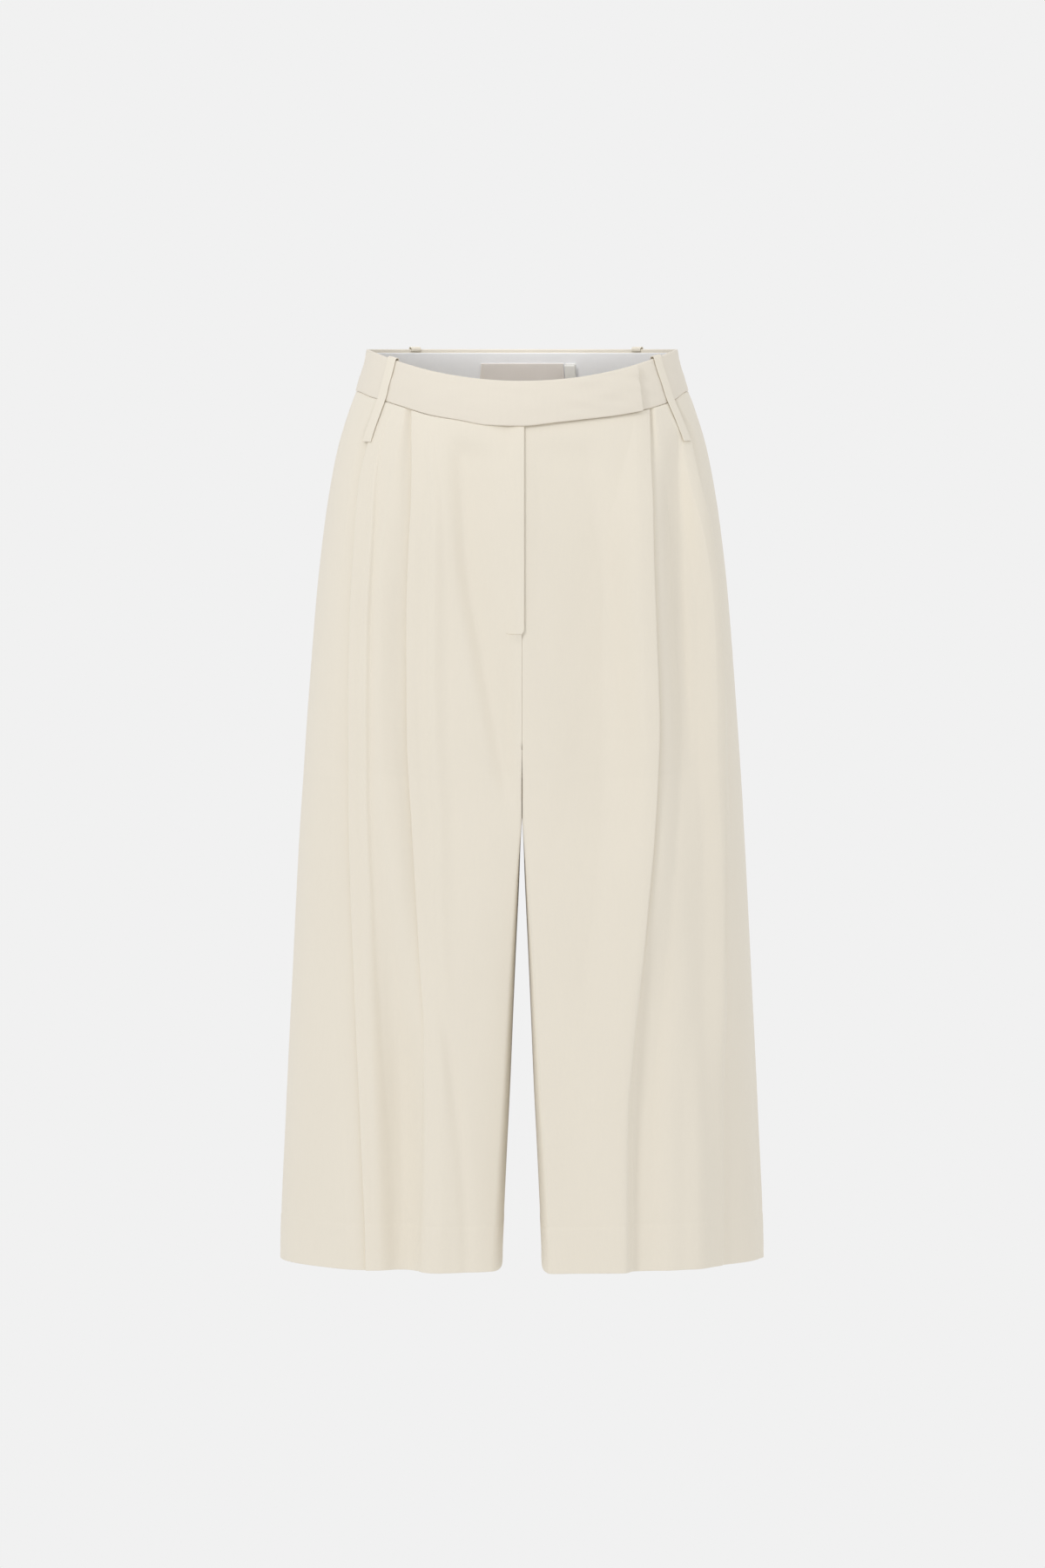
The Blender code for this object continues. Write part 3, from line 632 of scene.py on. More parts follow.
@dataclass(frozen=True)
class Cloth:
    """A finish for a woven piece: its colour, its weave and how it takes the light."""

    slot: str
    colour: tuple[float, float, float]
    roughness: float = 0.82
    sheen: float = 0.12
    grain: float = 0.10
    thread: float = 0.00045
    shade: float = 0.03
    slub: float = 0.02
    twill: bool = False

    def material(self, name: str) -> bpy.types.Material:
        """Makes the finish as a node material on the piece's own UVs, which are in metres.

        Args:
            name: The material's name.

        Returns:
            The material.
        """
        made, shader = new_material(name)
        node = partial(add_node, made.node_tree)
        place = node("ShaderNodeUVMap", {}, uv_map="cloth").outputs["UV"]

        def texture(kind: str, mapping: dict[str, Source], settings: dict[str, Source]) -> Socket:
            """A texture on the mapped UVs."""
            placed = node("ShaderNodeMapping", {"Vector": place, **mapping})
            return node(kind, {"Vector": placed.outputs["Vector"], **settings}).outputs["Fac"]

        def noise(scale: tuple[float, float], detail: float) -> Socket:
            """Clouds with a number to a metre across and down."""
            return texture("ShaderNodeTexNoise", {"Scale": (*scale, 1.0)}, {"Scale": 1.0, "Detail": detail})

        def wave(angle: float, pitch: float) -> Socket:
            """Threads at an angle, a pitch apart."""
            settings = {"Scale": WAVE_PERIOD / pitch, "Distortion": 1.2, "Detail": 1.0, "Detail Scale": 2.0}
            return texture("ShaderNodeTexWave", {"Rotation": (0.0, 0.0, angle)}, settings)

        def joined(kind: str, a: Socket, b: Socket | float) -> Socket:
            """Two values put together."""
            return node("ShaderNodeMath", {"0": a, "1": b}, operation=kind).outputs[0]

        warp = wave(math.radians(28) if self.twill else 0.0, self.thread)
        weft = wave(math.radians(90), self.thread * 1.15)
        crepe = noise((0.35 / self.thread, 0.2 / self.thread), 2.0)
        flecks = noise((420.0, 60.0), 2.0)
        cloud = noise((16.0, 9.0), 3.0)
        weave = joined("ADD", joined("MULTIPLY", warp, 0.5), joined("MULTIPLY", weft, 0.3))
        height = joined("ADD", weave, joined("MULTIPLY", crepe, 1.1))
        tone = joined("ADD", joined("MULTIPLY", flecks, self.slub), joined("MULTIPLY", cloud, self.shade))
        tone = joined("ADD", tone, joined("MULTIPLY", crepe, self.slub))
        tone = joined("ADD", tone, 1.0 - self.slub - self.shade / 2)
        dyed = {"Factor": 1.0, "A": (*self.colour, 1.0), "B": tone}
        colour = node("ShaderNodeMix", dyed, data_type="RGBA", blend_type="MULTIPLY")
        bump = node("ShaderNodeBump", {"Strength": self.grain, "Distance": self.thread, "Height": height})
        feed(shader, {
            "Base Color": colour.outputs["Result"],
            "Normal": bump.outputs["Normal"],
            "Roughness": self.roughness,
            "Sheen Weight": self.sheen,
            "Sheen Roughness": 0.55,
            "IOR": 1.45,
        })
        return made


CREPE = Cloth("ivory_cloth", (0.83, 0.775, 0.668))
BAND_CREPE = Cloth("ivory_band", (0.80, 0.745, 0.648), grain=0.08)
LINING = Cloth(
    "lining", (0.925, 0.93, 0.95), roughness=0.5, sheen=0.0, grain=0.05, thread=0.00025, twill=True
)
LABEL_TAPE = Cloth("label_tape", (0.80, 0.75, 0.71), roughness=0.6, grain=0.12, thread=0.0003)
WHITE_TAPE = Cloth("white_tape", (0.80, 0.79, 0.76), roughness=0.6, grain=0.12, thread=0.0004)


@dataclass(frozen=True)
class Thread:
    """The finish of sewing thread: its colour and its twist."""

    slot: str = "ivory_cloth"
    colour: tuple[float, float, float] = (0.80, 0.735, 0.62)
    roughness: float = 0.55
    twist: float = 0.00025

    def material(self, name: str) -> bpy.types.Material:
        """Makes the finish as a node material in object space.

        Args:
            name: The material's name.

        Returns:
            The material.
        """
        made, shader = new_material(name)
        node = partial(add_node, made.node_tree)
        place = node("ShaderNodeTexCoord", {}).outputs["Object"]
        fine = {"Vector": place, "Scale": 1 / self.twist, "Detail": 2.0}
        plies = node("ShaderNodeTexNoise", fine).outputs["Fac"]
        dark, light = (*(0.9 * part for part in self.colour), 1.0), (*self.colour, 1.0)
        tone = node("ShaderNodeMix", {"Factor": plies, "A": dark, "B": light}, data_type="RGBA")
        bump = node("ShaderNodeBump", {"Strength": 0.3, "Distance": self.twist, "Height": plies})
        feed(shader, {
            "Base Color": tone.outputs["Result"],
            "Normal": bump.outputs["Normal"],
            "Roughness": self.roughness,
            "Sheen Weight": 0.2,
        })
        return made


THREAD = Thread()


class Materials:
    """The materials, each made once."""

    def __init__(self) -> None:
        """Starts with none."""
        self.made: dict[Cloth | Thread, bpy.types.Material] = {}

    def of(self, cloth: Cloth | Thread) -> bpy.types.Material:
        """The material of a finish.

        Args:
            cloth: The finish.

        Returns:
            Its material.
        """
        if cloth not in self.made:
            self.made[cloth] = cloth.material(f"{cloth.slot}_{len(self.made)}")
        return self.made[cloth]


@dataclass
class Shell:
    """A thin closed shell between an outer and an inner grid of points, in metres.

    across and down are the flat places of the grid's columns and rows, for the UVs.
    """

    name: str
    outer: Array
    inner: Array
    across: Array
    down: Array
    cloth: Cloth

    def build(self, materials: Materials) -> bpy.types.Object:
        """Makes the mesh object, with faces out and UVs in metres.

        Args:
            materials: Where finishes are kept.

        Returns:
            The object.
        """
        rows, columns = self.outer.shape[:2]
        count = rows * columns
        index = np.arange(count).reshape(rows, columns)
        a, b, c, d = index[:-1, :-1], index[1:, :-1], index[1:, 1:], index[:-1, 1:]
        out_faces = np.stack([a, b, c, d], -1).reshape(-1, 4)
        in_faces = np.stack([a, d, c, b], -1).reshape(-1, 4) + count
        rims = [
            np.stack([line[:-1], line[:-1] + count, line[1:] + count, line[1:]], -1)
            for line in (index[:, 0], index[-1, :], index[::-1, -1], index[0, ::-1])
        ]
        faces = np.concatenate([out_faces, in_faces, *rims])
        points = np.concatenate([self.outer.reshape(-1, 3), self.inner.reshape(-1, 3)])
        volumes = [np.linalg.det(points[faces[:, half]]).sum() for half in ([0, 1, 2], [0, 2, 3])]
        if sum(volumes) < 0:
            faces = faces[:, ::-1]
        mesh = bpy.data.meshes.new(self.name)
        mesh.from_pydata(points.tolist(), [], faces.tolist())
        flat = [np.broadcast_to(places, index.shape).reshape(-1) for places in (self.across, self.down)]
        uv = np.concatenate([np.stack(flat, 1)] * 2)
        layer = mesh.uv_layers.new(name="cloth")
        layer.data.foreach_set("uv", uv[faces.reshape(-1)].reshape(-1).astype(np.float32))
        mesh.shade_smooth()
        mesh.materials.append(materials.of(self.cloth))
        return new_object(self.name, mesh)


def round_edge(distance: Array, radius: float) -> Array:
    """How thick a rounded edge is, as a share, at a distance from it."""
    inside = 1 - np.clip(distance / radius, 0, 1)
    return np.maximum(np.sqrt(np.maximum(1 - inside**2, 0)), 0.2)


def edge_distance(down: Array, across: Array) -> Array:
    """How far each point of a grid is from the grid's nearest edge."""
    to_end, to_side = (np.minimum(places - places[0], places[-1] - places) for places in (down, across))
    return np.minimum(to_end[:, None], to_side)


class Panel:
    """A front or back panel of one leg, from the waist seam to the hem.

    The shares, steps and points say where the columns of its grid lie. Soft folds set in over the fades, and
    the pleats come out to their full height over pleat_rises below the band.
    """

    inner_step = 0.12
    inner_shares = np.array([
        0, 0.002, 0.006, 0.02, 0.06, 0.14, 0.25, 0.38, 0.5, 0.62, 0.72, 0.81, 0.88, 0.93, 0.965, 0.985, 1.0
    ])
    side_close = np.array([2.2, 1.0, 0.5, 0.2, 0.0])
    dart_close = np.array([-5.0, -2.4, -1.2, -0.6, -0.25, 0.0, 0.25, 0.6, 1.2, 2.4, 5.0])
    edge_share = 3.0
    pleat_steps = 24, 7
    pleat_rises = 110.0
    open_turn = math.radians(145)
    fades_from_middle = 16.0
    fades_from_side = 14.0
    fades_from_band = 30.0
    dart_swell = 22.0
    dart_hollow = 7.0
    arc_points = 9
    lead_points = 18
    tail_points = 9
    clearance = 1.5
    tail_gap = 2.0

    def __init__(self, part: Part, side: Side) -> None:
        """Works out the panel's two faces.

        Args:
            part: Front or back.
            side: Which leg.
        """
        self.part, self.side = part, side
        self.rows = panel_rows()
        paths = [self._path(float(drop)) for drop in self.rows]
        self.along, self.height = np.array([p[:, 0] for p in paths]), np.array([p[:, 1] for p in paths])

    def _inner(self, drop: float) -> Array:
        """Distances along a row of the columns that round its inner side.

        Args:
            drop: The row's drop.

        Returns:
            The distances.
        """
        run, x, y = FORM.row(self.part, drop)
        crest = max(LEGS.read(self.part.column, drop), LEGS.read("inner", drop))
        crown = int(np.searchsorted(x, crest)) + 1
        reached = y[0] + (y[crown - 1] - y[0]) * self.inner_shares
        places = np.interp(reached, y[:crown], run[:crown])
        places[0] = 0.0
        steps = self.inner_step * np.arange(len(places))
        return np.maximum.accumulate(places - steps) + steps

    def _fold(self, pleat: Table, drop: float) -> Array:
        """Points (along, height) of a pleat's middle surface about its folded edge.

        Args:
            pleat: The pleat.
            drop: Drop of the folded edge.

        Returns:
            The points.
        """
        height, under = pleat.read("height", drop), pleat.read("under", drop)
        before, after = pleat.read("before", drop), pleat.read("after", drop)
        opened = 2 * pleat.read("open", drop) - 1
        turn = math.pi - self.open_turn * ease(opened)
        flat = (under - height / 2) * max(0.0, -opened) + 2.0 * max(0.0, opened)
        r = (height - flat * math.sin(turn)) / (2 * (1 - math.cos(turn)))
        arc = np.linspace(0, turn, self.arc_points)
        fold = np.stack([r * np.sin(arc), height - r * (1 - np.cos(arc))], 1)
        end = np.array([2 * r * math.sin(turn) + flat * math.cos(turn), height])
        free = ease((drop - CUT.band_height) / self.pleat_rises)
        sunk = height * (1 - free) + float(pleat.read("sink", drop)) * free
        shift = np.array([r * math.sin(min(turn, math.pi / 2)), sunk])
        between = np.linspace(fold[-1], end - fold[-1], 4)[1:-1]
        middle = np.concatenate([fold, between, end - fold[::-1]]) - shift
        rise, clear = height - sunk, self.clearance - middle[:, 0].min()
        t = np.linspace(0, 1, self.lead_points)
        inward = clear + before * (1 - t)
        crest_at = pleat.read("crest_at", drop)
        crest = pleat.read("crest", drop) * bell(inward - clear - crest_at, 0.5 * crest_at)
        lead = np.stack([-inward, rise * (0.35 * ease(t) + 0.65 * t**1.5) + crest * ease(t * 4)], 1)
        start = max(middle[-1, 0], 0.0) + self.tail_gap
        t = np.linspace(0, 1, self.tail_points)
        tail = np.stack([start + (after - start) * t, -sunk * (1 - t) * (1 + t - t**2)], 1)
        return np.concatenate([lead, middle, tail])

    def _path(self, drop: float) -> Array:
        """A row's middle surface, as (along, height).

        Args:
            drop: The row's drop at the side seam.

        Returns:
            The points, as many in every row.
        """
        run, x, _ = FORM.row(self.part, drop)
        inner = self._inner(drop)
        pieces, start = [np.stack([inner, 0 * inner], 1)], inner[-1]
        last = run[-1] - self.side_close
        if self.part is Part.BACK:
            dart = np.interp(DART.read("x", drop), x, run)
            close = dart + self.dart_close
            before, after = np.linspace(start, close[0], 20)[1:-1], np.linspace(close[-1], last[0], 54)[1:-1]
            flat = np.concatenate([before, close, after, last])
            return np.concatenate([*pieces, np.stack([flat, 0 * flat], 1)])
        for count, pleat in zip(self.pleat_steps, PLEATS[self.side], strict=True):
            edge_x, edge_drop = self._pleat_place(pleat, drop)
            keys = self._fold(pleat, edge_drop) + (np.interp(edge_x, x, run), 0.0)
            flat = np.linspace(start, keys[0, 0], count + 2)[1:-1]
            pieces += [np.stack([flat, 0 * flat], 1), keys]
            start = keys[-1, 0]
        flat = np.concatenate([np.linspace(start, last[0], 16)[1:-1], last])
        return np.concatenate([*pieces, np.stack([flat, 0 * flat], 1)])

    def _dip(self, x: Array | float, drop: Array | float) -> Array:
        """How much lower than at the side a row of the front runs.

        Args:
            x: Distance from the middle.
            drop: The row's drop at the side.

        Returns:
            The extra drop.
        """
        share = np.clip(x / RINGS.read("half_width", drop), 0, 1)
        fade = 1 - ease((drop - CUT.band_height) / (CUT.dip_ends - CUT.band_height))
        return SEAM_DIP.read(self.side.name, share) * fade

    def _pleat_place(self, pleat: Table, row: float) -> tuple[float, float]:
        """Where a row meets a pleat's folded edge.

        Args:
            pleat: The pleat.
            row: The row's drop at the side.

        Returns:
            x from the middle, and the drop there.
        """
        drop = row
        for _ in range(6):
            x = float(pleat.read("x", drop))
            drop = row + float(self._dip(x, row))
        return x, drop

    def _details(self, x: Array, drop: Array, along: Array, to_side: Array) -> Array:
        """Height of the soft folds, seams and small unevenness over the plain ring.

        Args:
            x: Distance from the middle.
            drop: Drop.
            along: Distance from the centre edge.
            to_side: Distance from the side seam.

        Returns:
            The height.
        """
        rows, is_back = self.rows[:, None], self.part is Part.BACK
        seed = 10 * self.part.value + self.side.value + 40
        from_dart = x - DART.read("x", drop)
        height = sum(fold.height(x, drop) for fold in FOLDS[self.part, self.side])
        if is_back:
            swell = bell(from_dart, self.dart_swell) - 1.1 * bell(from_dart, self.dart_hollow)
            height = height + DART.read("hollow", drop) * swell
        height = height + PANEL_WAVES.at(x, drop, seed) + PANEL_RIPPLES.at(x, drop, seed + 1)
        near_middle = ease((x - LEGS.read("inner", drop)) / self.fades_from_middle)
        near_seam = ease((rows - CUT.band_height) / self.fades_from_band)
        height = height * near_middle * near_seam * ease(to_side / self.fades_from_side)
        pucker = SEAM_PUCKER.at(drop, drop * 0, seed + 2) * np.exp(-np.minimum(to_side, along) / 5.0)
        roll = -0.45 * near(to_side, 2.4) - 0.1 * near(along, 1.0)
        waist = -0.35 * near(rows - CUT.band_height, 3.0)
        from_hem = CUT.length - rows
        hem = 0.22 * ease((CUT.hem_depth + 2.0 - from_hem) / 3.0) - 0.3 * bell(from_hem - CUT.hem_depth, 1.6)
        dart = -DART.read("depth", drop) * np.exp(-np.abs(from_dart) / 0.5) if is_back else 0.0
        return height + pucker + roll + waist + hem + dart

    def _hang(self, x: Array, drop: Array) -> Array:
        """How far the front of the leg falls back towards its inner edge."""
        share = CUT.hang_right if self.side is Side.RIGHT else CUT.hang_left
        return share * LEGS.read("hang", drop) * near(x - LEGS.read("inner", drop), CUT.hang_reach)

    def _place(self, along: Array, height: Array) -> Array:
        """Puts points of the rows' own planes on the garment.

        Args:
            along: Distances along the rows.
            height: Heights over the plain ring.

        Returns:
            Points in metres.
        """
        rows = np.broadcast_to(self.rows[:, None], along.shape)
        length = FORM.length(self.part, rows)
        share = along / length
        drop = rows
        if self.part is Part.FRONT:
            (x_row,) = FORM.read(self.part, "x", share, rows)
            drop = rows + self._dip(x_row, rows)
        x, y, nx, ny = FORM.read(self.part, "x y nx ny", share, drop)
        lift = height + self._details(x, drop, along, length - along)
        gap, lap = CUT.seam_gap / 2, 0.0
        if self.part is Part.BACK:
            lap = self.side.value * -0.5 * ease((CUT.crotch + 60.0 - drop) / 30.0)
        elif self.side is Side.RIGHT:
            fly = ease((CUT.fly_reach - x) / CUT.fly_blend)
            lift = lift + CUT.fly_step * fly * ease((CUT.fly_bottom + 5.0 - drop) / 4.0)
            lap = (CUT.fly_lap + gap) * fly * ease((CUT.fly_bottom + 0.5 - drop) / 3.0)
        if self.part is Part.FRONT:
            y = y * (1 - self._hang(x, drop) / RINGS.read("front", drop))
            lap = lap + (gap - 0.03) * ease((CUT.legs_part - drop) / 8.0) * ease((4.0 - x) / 3.0)
        px = np.maximum(x + nx * lift, gap) - lap
        py = np.maximum(y + ny * lift, gap)
        return np.stack([self.side.value * px, self.part.value * py, -drop], -1) * MM

    def build(self, materials: Materials) -> bpy.types.Object:
        """Makes the panel.

        Args:
            materials: Where finishes are kept.

        Returns:
            The object.
        """
        ahead = np.gradient(self.along, axis=1), np.gradient(self.height, axis=1)
        size = np.hypot(*ahead)
        across, out = -ahead[1] / size, ahead[0] / size
        ends = np.minimum(self.along * self.edge_share, self.along[:, -1:] - self.along)
        down = np.minimum(self.rows - self.rows[0], self.rows[-1] - self.rows)[:, None]
        thick = CUT.cloth * np.minimum(round_edge(ends, 0.5), round_edge(down, 0.6)) / 2
        into_hem = CUT.hem_depth - (CUT.length - self.rows[:, None])
        extra = CUT.hem_extra * ease(into_hem / 1.2 + 0.5) * round_edge(down, 1.2)
        base = self.height - CUT.cloth / 2
        outer = self._place(self.along + across * thick, base + out * thick)
        inner = self._place(self.along - across * (thick + extra), base - out * (thick + extra))
        name = f"{self.part.name}_{self.side.name}_cloth".lower()
        return Shell(name, outer, inner, self.along * MM, -self.rows[:, None] * MM, CREPE).build(materials)


@dataclass(frozen=True)
class BandPiece:
    """A piece of the band between two angles from the middle."""

    node: str
    name: str
    part: Part
    start: float
    end: float
    seed: int
    has_tab: bool = False


class Waistband:
    """The band in three pieces. The wearer's right front runs on over the left one as a tab."""

    radius = 125.0
    slant = math.radians(2.2)
    crown = 0.6
    tab_waves = 2.4
    tab_blend = math.radians(14)
    tab_waves_from = math.radians(8)

    def __init__(self) -> None:
        """Works out where the pieces start and end."""
        width = float(RINGS.read("half_width", CUT.band_height))
        seam = CUT.seam_gap / 2 / CUT.waist_half
        side, underlap = math.pi / 2 - 2 * seam, math.asin(CUT.underlap_start / width)
        self.tab_end = math.asin(CUT.tab_reach / width)
        self.pieces = (
            BandPiece(
                "waistband_right", "band_right_cloth", Part.FRONT, -side, self.tab_end, seed=3, has_tab=True
            ),
            BandPiece("waistband_left", "band_left_cloth", Part.FRONT, underlap, side, seed=5),
            BandPiece("waistband_back", "band_back_cloth", Part.BACK, -side, side, seed=7),
        )

    def _tab_lift(self, angle: Array) -> Array:
        """How far the tab stands over the band that it laps."""
        near_end = ease((angle - self.tab_end) / self.tab_blend + 1.0)
        return CUT.tab_lift * ease((np.degrees(angle) + 15.0) / 12.0) + CUT.tab_end_lift * near_end

    def _build_piece(self, piece: BandPiece, materials: Materials) -> bpy.types.Object:
        """Makes one piece of the band.

        Args:
            piece: The piece.
            materials: Where finishes are kept.

        Returns:
            The object.
        """
        reach = (piece.end - piece.start) * self.radius
        columns = near_edges(0.0, reach, max(20, int(reach / 3.0)), (0.2, 0.5, 1.0, 2.0))
        down = near_edges(0.0, CUT.band_height, 14, (0.12, 0.35, 0.75, 1.3)) / CUT.band_height
        share, column = down[:, None], (columns / columns[-1])[None, :]
        slant = self.slant if piece.has_tab else 0.0
        angle = piece.start + (piece.end - share * slant - piece.start) * column
        top, low = FORM.rim_drop(piece.part, angle), FORM.seam_drop(piece.part, angle)
        drop = top + share * (low - top)
        edge = np.minimum(share, 1 - share) * (low - top)
        ends = np.minimum(columns, columns[-1] - columns)[None, :]
        thick = CUT.band_cloth * np.minimum(round_edge(edge, 1.0), round_edge(ends, 0.4)) / 2
        crown = self.crown * (1 - (2 * share - 1) ** 2)
        around = angle * self.radius
        waves = BAND_RIPPLES.at(around, drop, piece.seed) + BAND_WAVES.at(around, drop, piece.seed + 1)
        lift = 0.0
        if piece.has_tab:
            lift = self._tab_lift(angle)
            waves = waves * (1 + self.tab_waves * ease((angle - self.tab_waves_from) / self.tab_blend))
        waves = waves * ease(edge / 5.0)
        middle = CUT.band_proud + lift + crown + waves - CUT.band_cloth / 2
        outer = FORM.waist_point(piece.part, angle, drop, middle + thick)
        inner = FORM.waist_point(piece.part, angle, drop, np.minimum(middle - crown - waves, middle) - thick)
        return Shell(piece.name, outer, inner, around * MM, -drop * MM, BAND_CREPE).build(materials)

    def build(self, materials: Materials) -> dict[str, bpy.types.Object]:
        """Makes the three pieces."""
        return {piece.node: self._build_piece(piece, materials) for piece in self.pieces}


@dataclass(frozen=True)
class Patch:
    """A flat piece laid inside the back of the waist, between two angles and two drops."""

    name: str
    left: float
    right: float
    top: float
    bottom: float
    inside: float
    thickness: float
    cloth: Cloth
    by_angle: bool = False

    def build(self, materials: Materials) -> bpy.types.Object:
        """Makes the patch.

        Args:
            materials: Where finishes are kept.

        Returns:
            The object.
        """
        radius, close = CUT.waist_half, (0.1, 0.3, 0.7, 1.6)
        start, end = self.left, self.right
        if not self.by_angle:
            start, end = math.asin(start / radius), math.asin(end / radius)
        columns = near_edges(start * radius, end * radius, max(14, int((end - start) * radius / 3)), close)
        drops = near_edges(self.top, self.bottom, 10, close)
        angle, drop = (columns / radius)[None, :], drops[:, None]
        edge = edge_distance(drops, columns)
        thick = self.thickness * round_edge(edge, 0.5) / 2
        waves = PATCH_WAVES.at(columns[None, :], drop, 60) * ease(edge / 3)
        middle = -self.inside - self.thickness / 2 + waves
        outer = FORM.waist_point(Part.BACK, angle, drop, middle + thick)
        inner = FORM.waist_point(Part.BACK, angle, drop, middle - thick)
        return Shell(self.name, outer, inner, columns[None, :] * MM, -drop * MM, self.cloth).build(materials)


def faces_of(piece: bpy.types.Object) -> BVHTree:
    """The faces of a piece, for measuring against."""
    corners = [vertex.co for vertex in piece.data.vertices]
    return BVHTree.FromPolygons(corners, [tuple(face.vertices) for face in piece.data.polygons])


def spline(keys: Array, count: int) -> Array:
    """A smooth curve through points, at even steps.

    Args:
        keys: The points.
        count: How many points the curve gets.

    Returns:
        The curve.
    """
    keys = np.asarray(keys, float)
    padded = np.concatenate([[2 * keys[0] - keys[1]], keys, [2 * keys[-1] - keys[-2]]])
    pieces = []
    for a, b, c, d in zip(padded[:-3], padded[1:-2], padded[2:-1], padded[3:], strict=True):
        t = np.linspace(0, 1, 12, endpoint=False)[:, None]
        linear, square, cube = c - a, 2 * a - 5 * b + 4 * c - d, 3 * b - a - 3 * c + d
        pieces.append(0.5 * (2 * b + linear * t + square * t**2 + cube * t**3))
    curve = np.concatenate([*pieces, keys[-1:]])
    run = np.concatenate([[0], np.cumsum(np.linalg.norm(np.diff(curve, axis=0), axis=1))])
    at = np.linspace(0, run[-1], count)
    return np.stack([np.interp(at, run, curve[:, k]) for k in range(curve.shape[1])], 1)


def strip_grid(run: Array, width: float, steps: int) -> tuple[Array, Array, Array]:
    """The grid of a strip that follows a line.

    Args:
        run: Drops and lifts along the line.
        width: The strip's width.
        steps: How many even steps lie across it.

    Returns:
        The directions out of the strip, as shares of its drop and its lift, the distances along it and the
        places across it.
    """
    ahead = np.gradient(run * (-1, 1), axis=0)
    ahead /= np.linalg.norm(ahead, axis=1)[:, None]
    length = np.concatenate([[0], np.cumsum(np.linalg.norm(np.diff(run, axis=0), axis=1))])
    across = near_edges(-width / 2, width / 2, steps, (0.1, 0.3, 0.7))
    return np.stack([-ahead[:, 1], ahead[:, 0]], 1), length, across


@dataclass(frozen=True)
class Stitching:
    """How a line of stitches is sewn, in millimetres and degrees."""

    pitch: float
    length: float
    width: float = 0.34
    turn: float = 0.0
    uneven: float = 4.0


TOPSTITCH = Stitching(2.6, 2.2, 0.3)
BARTACK = Stitching(0.34, 1.1, 0.3, turn=84.0)
FINE_BAR = Stitching(0.34, 0.9, 0.3, turn=84.0)
TAPE_STITCH = Stitching(1.5, 1.25, 0.3)
BLIND_STITCH = Stitching(8.0, 0.9, 0.22, uneven=8.0)


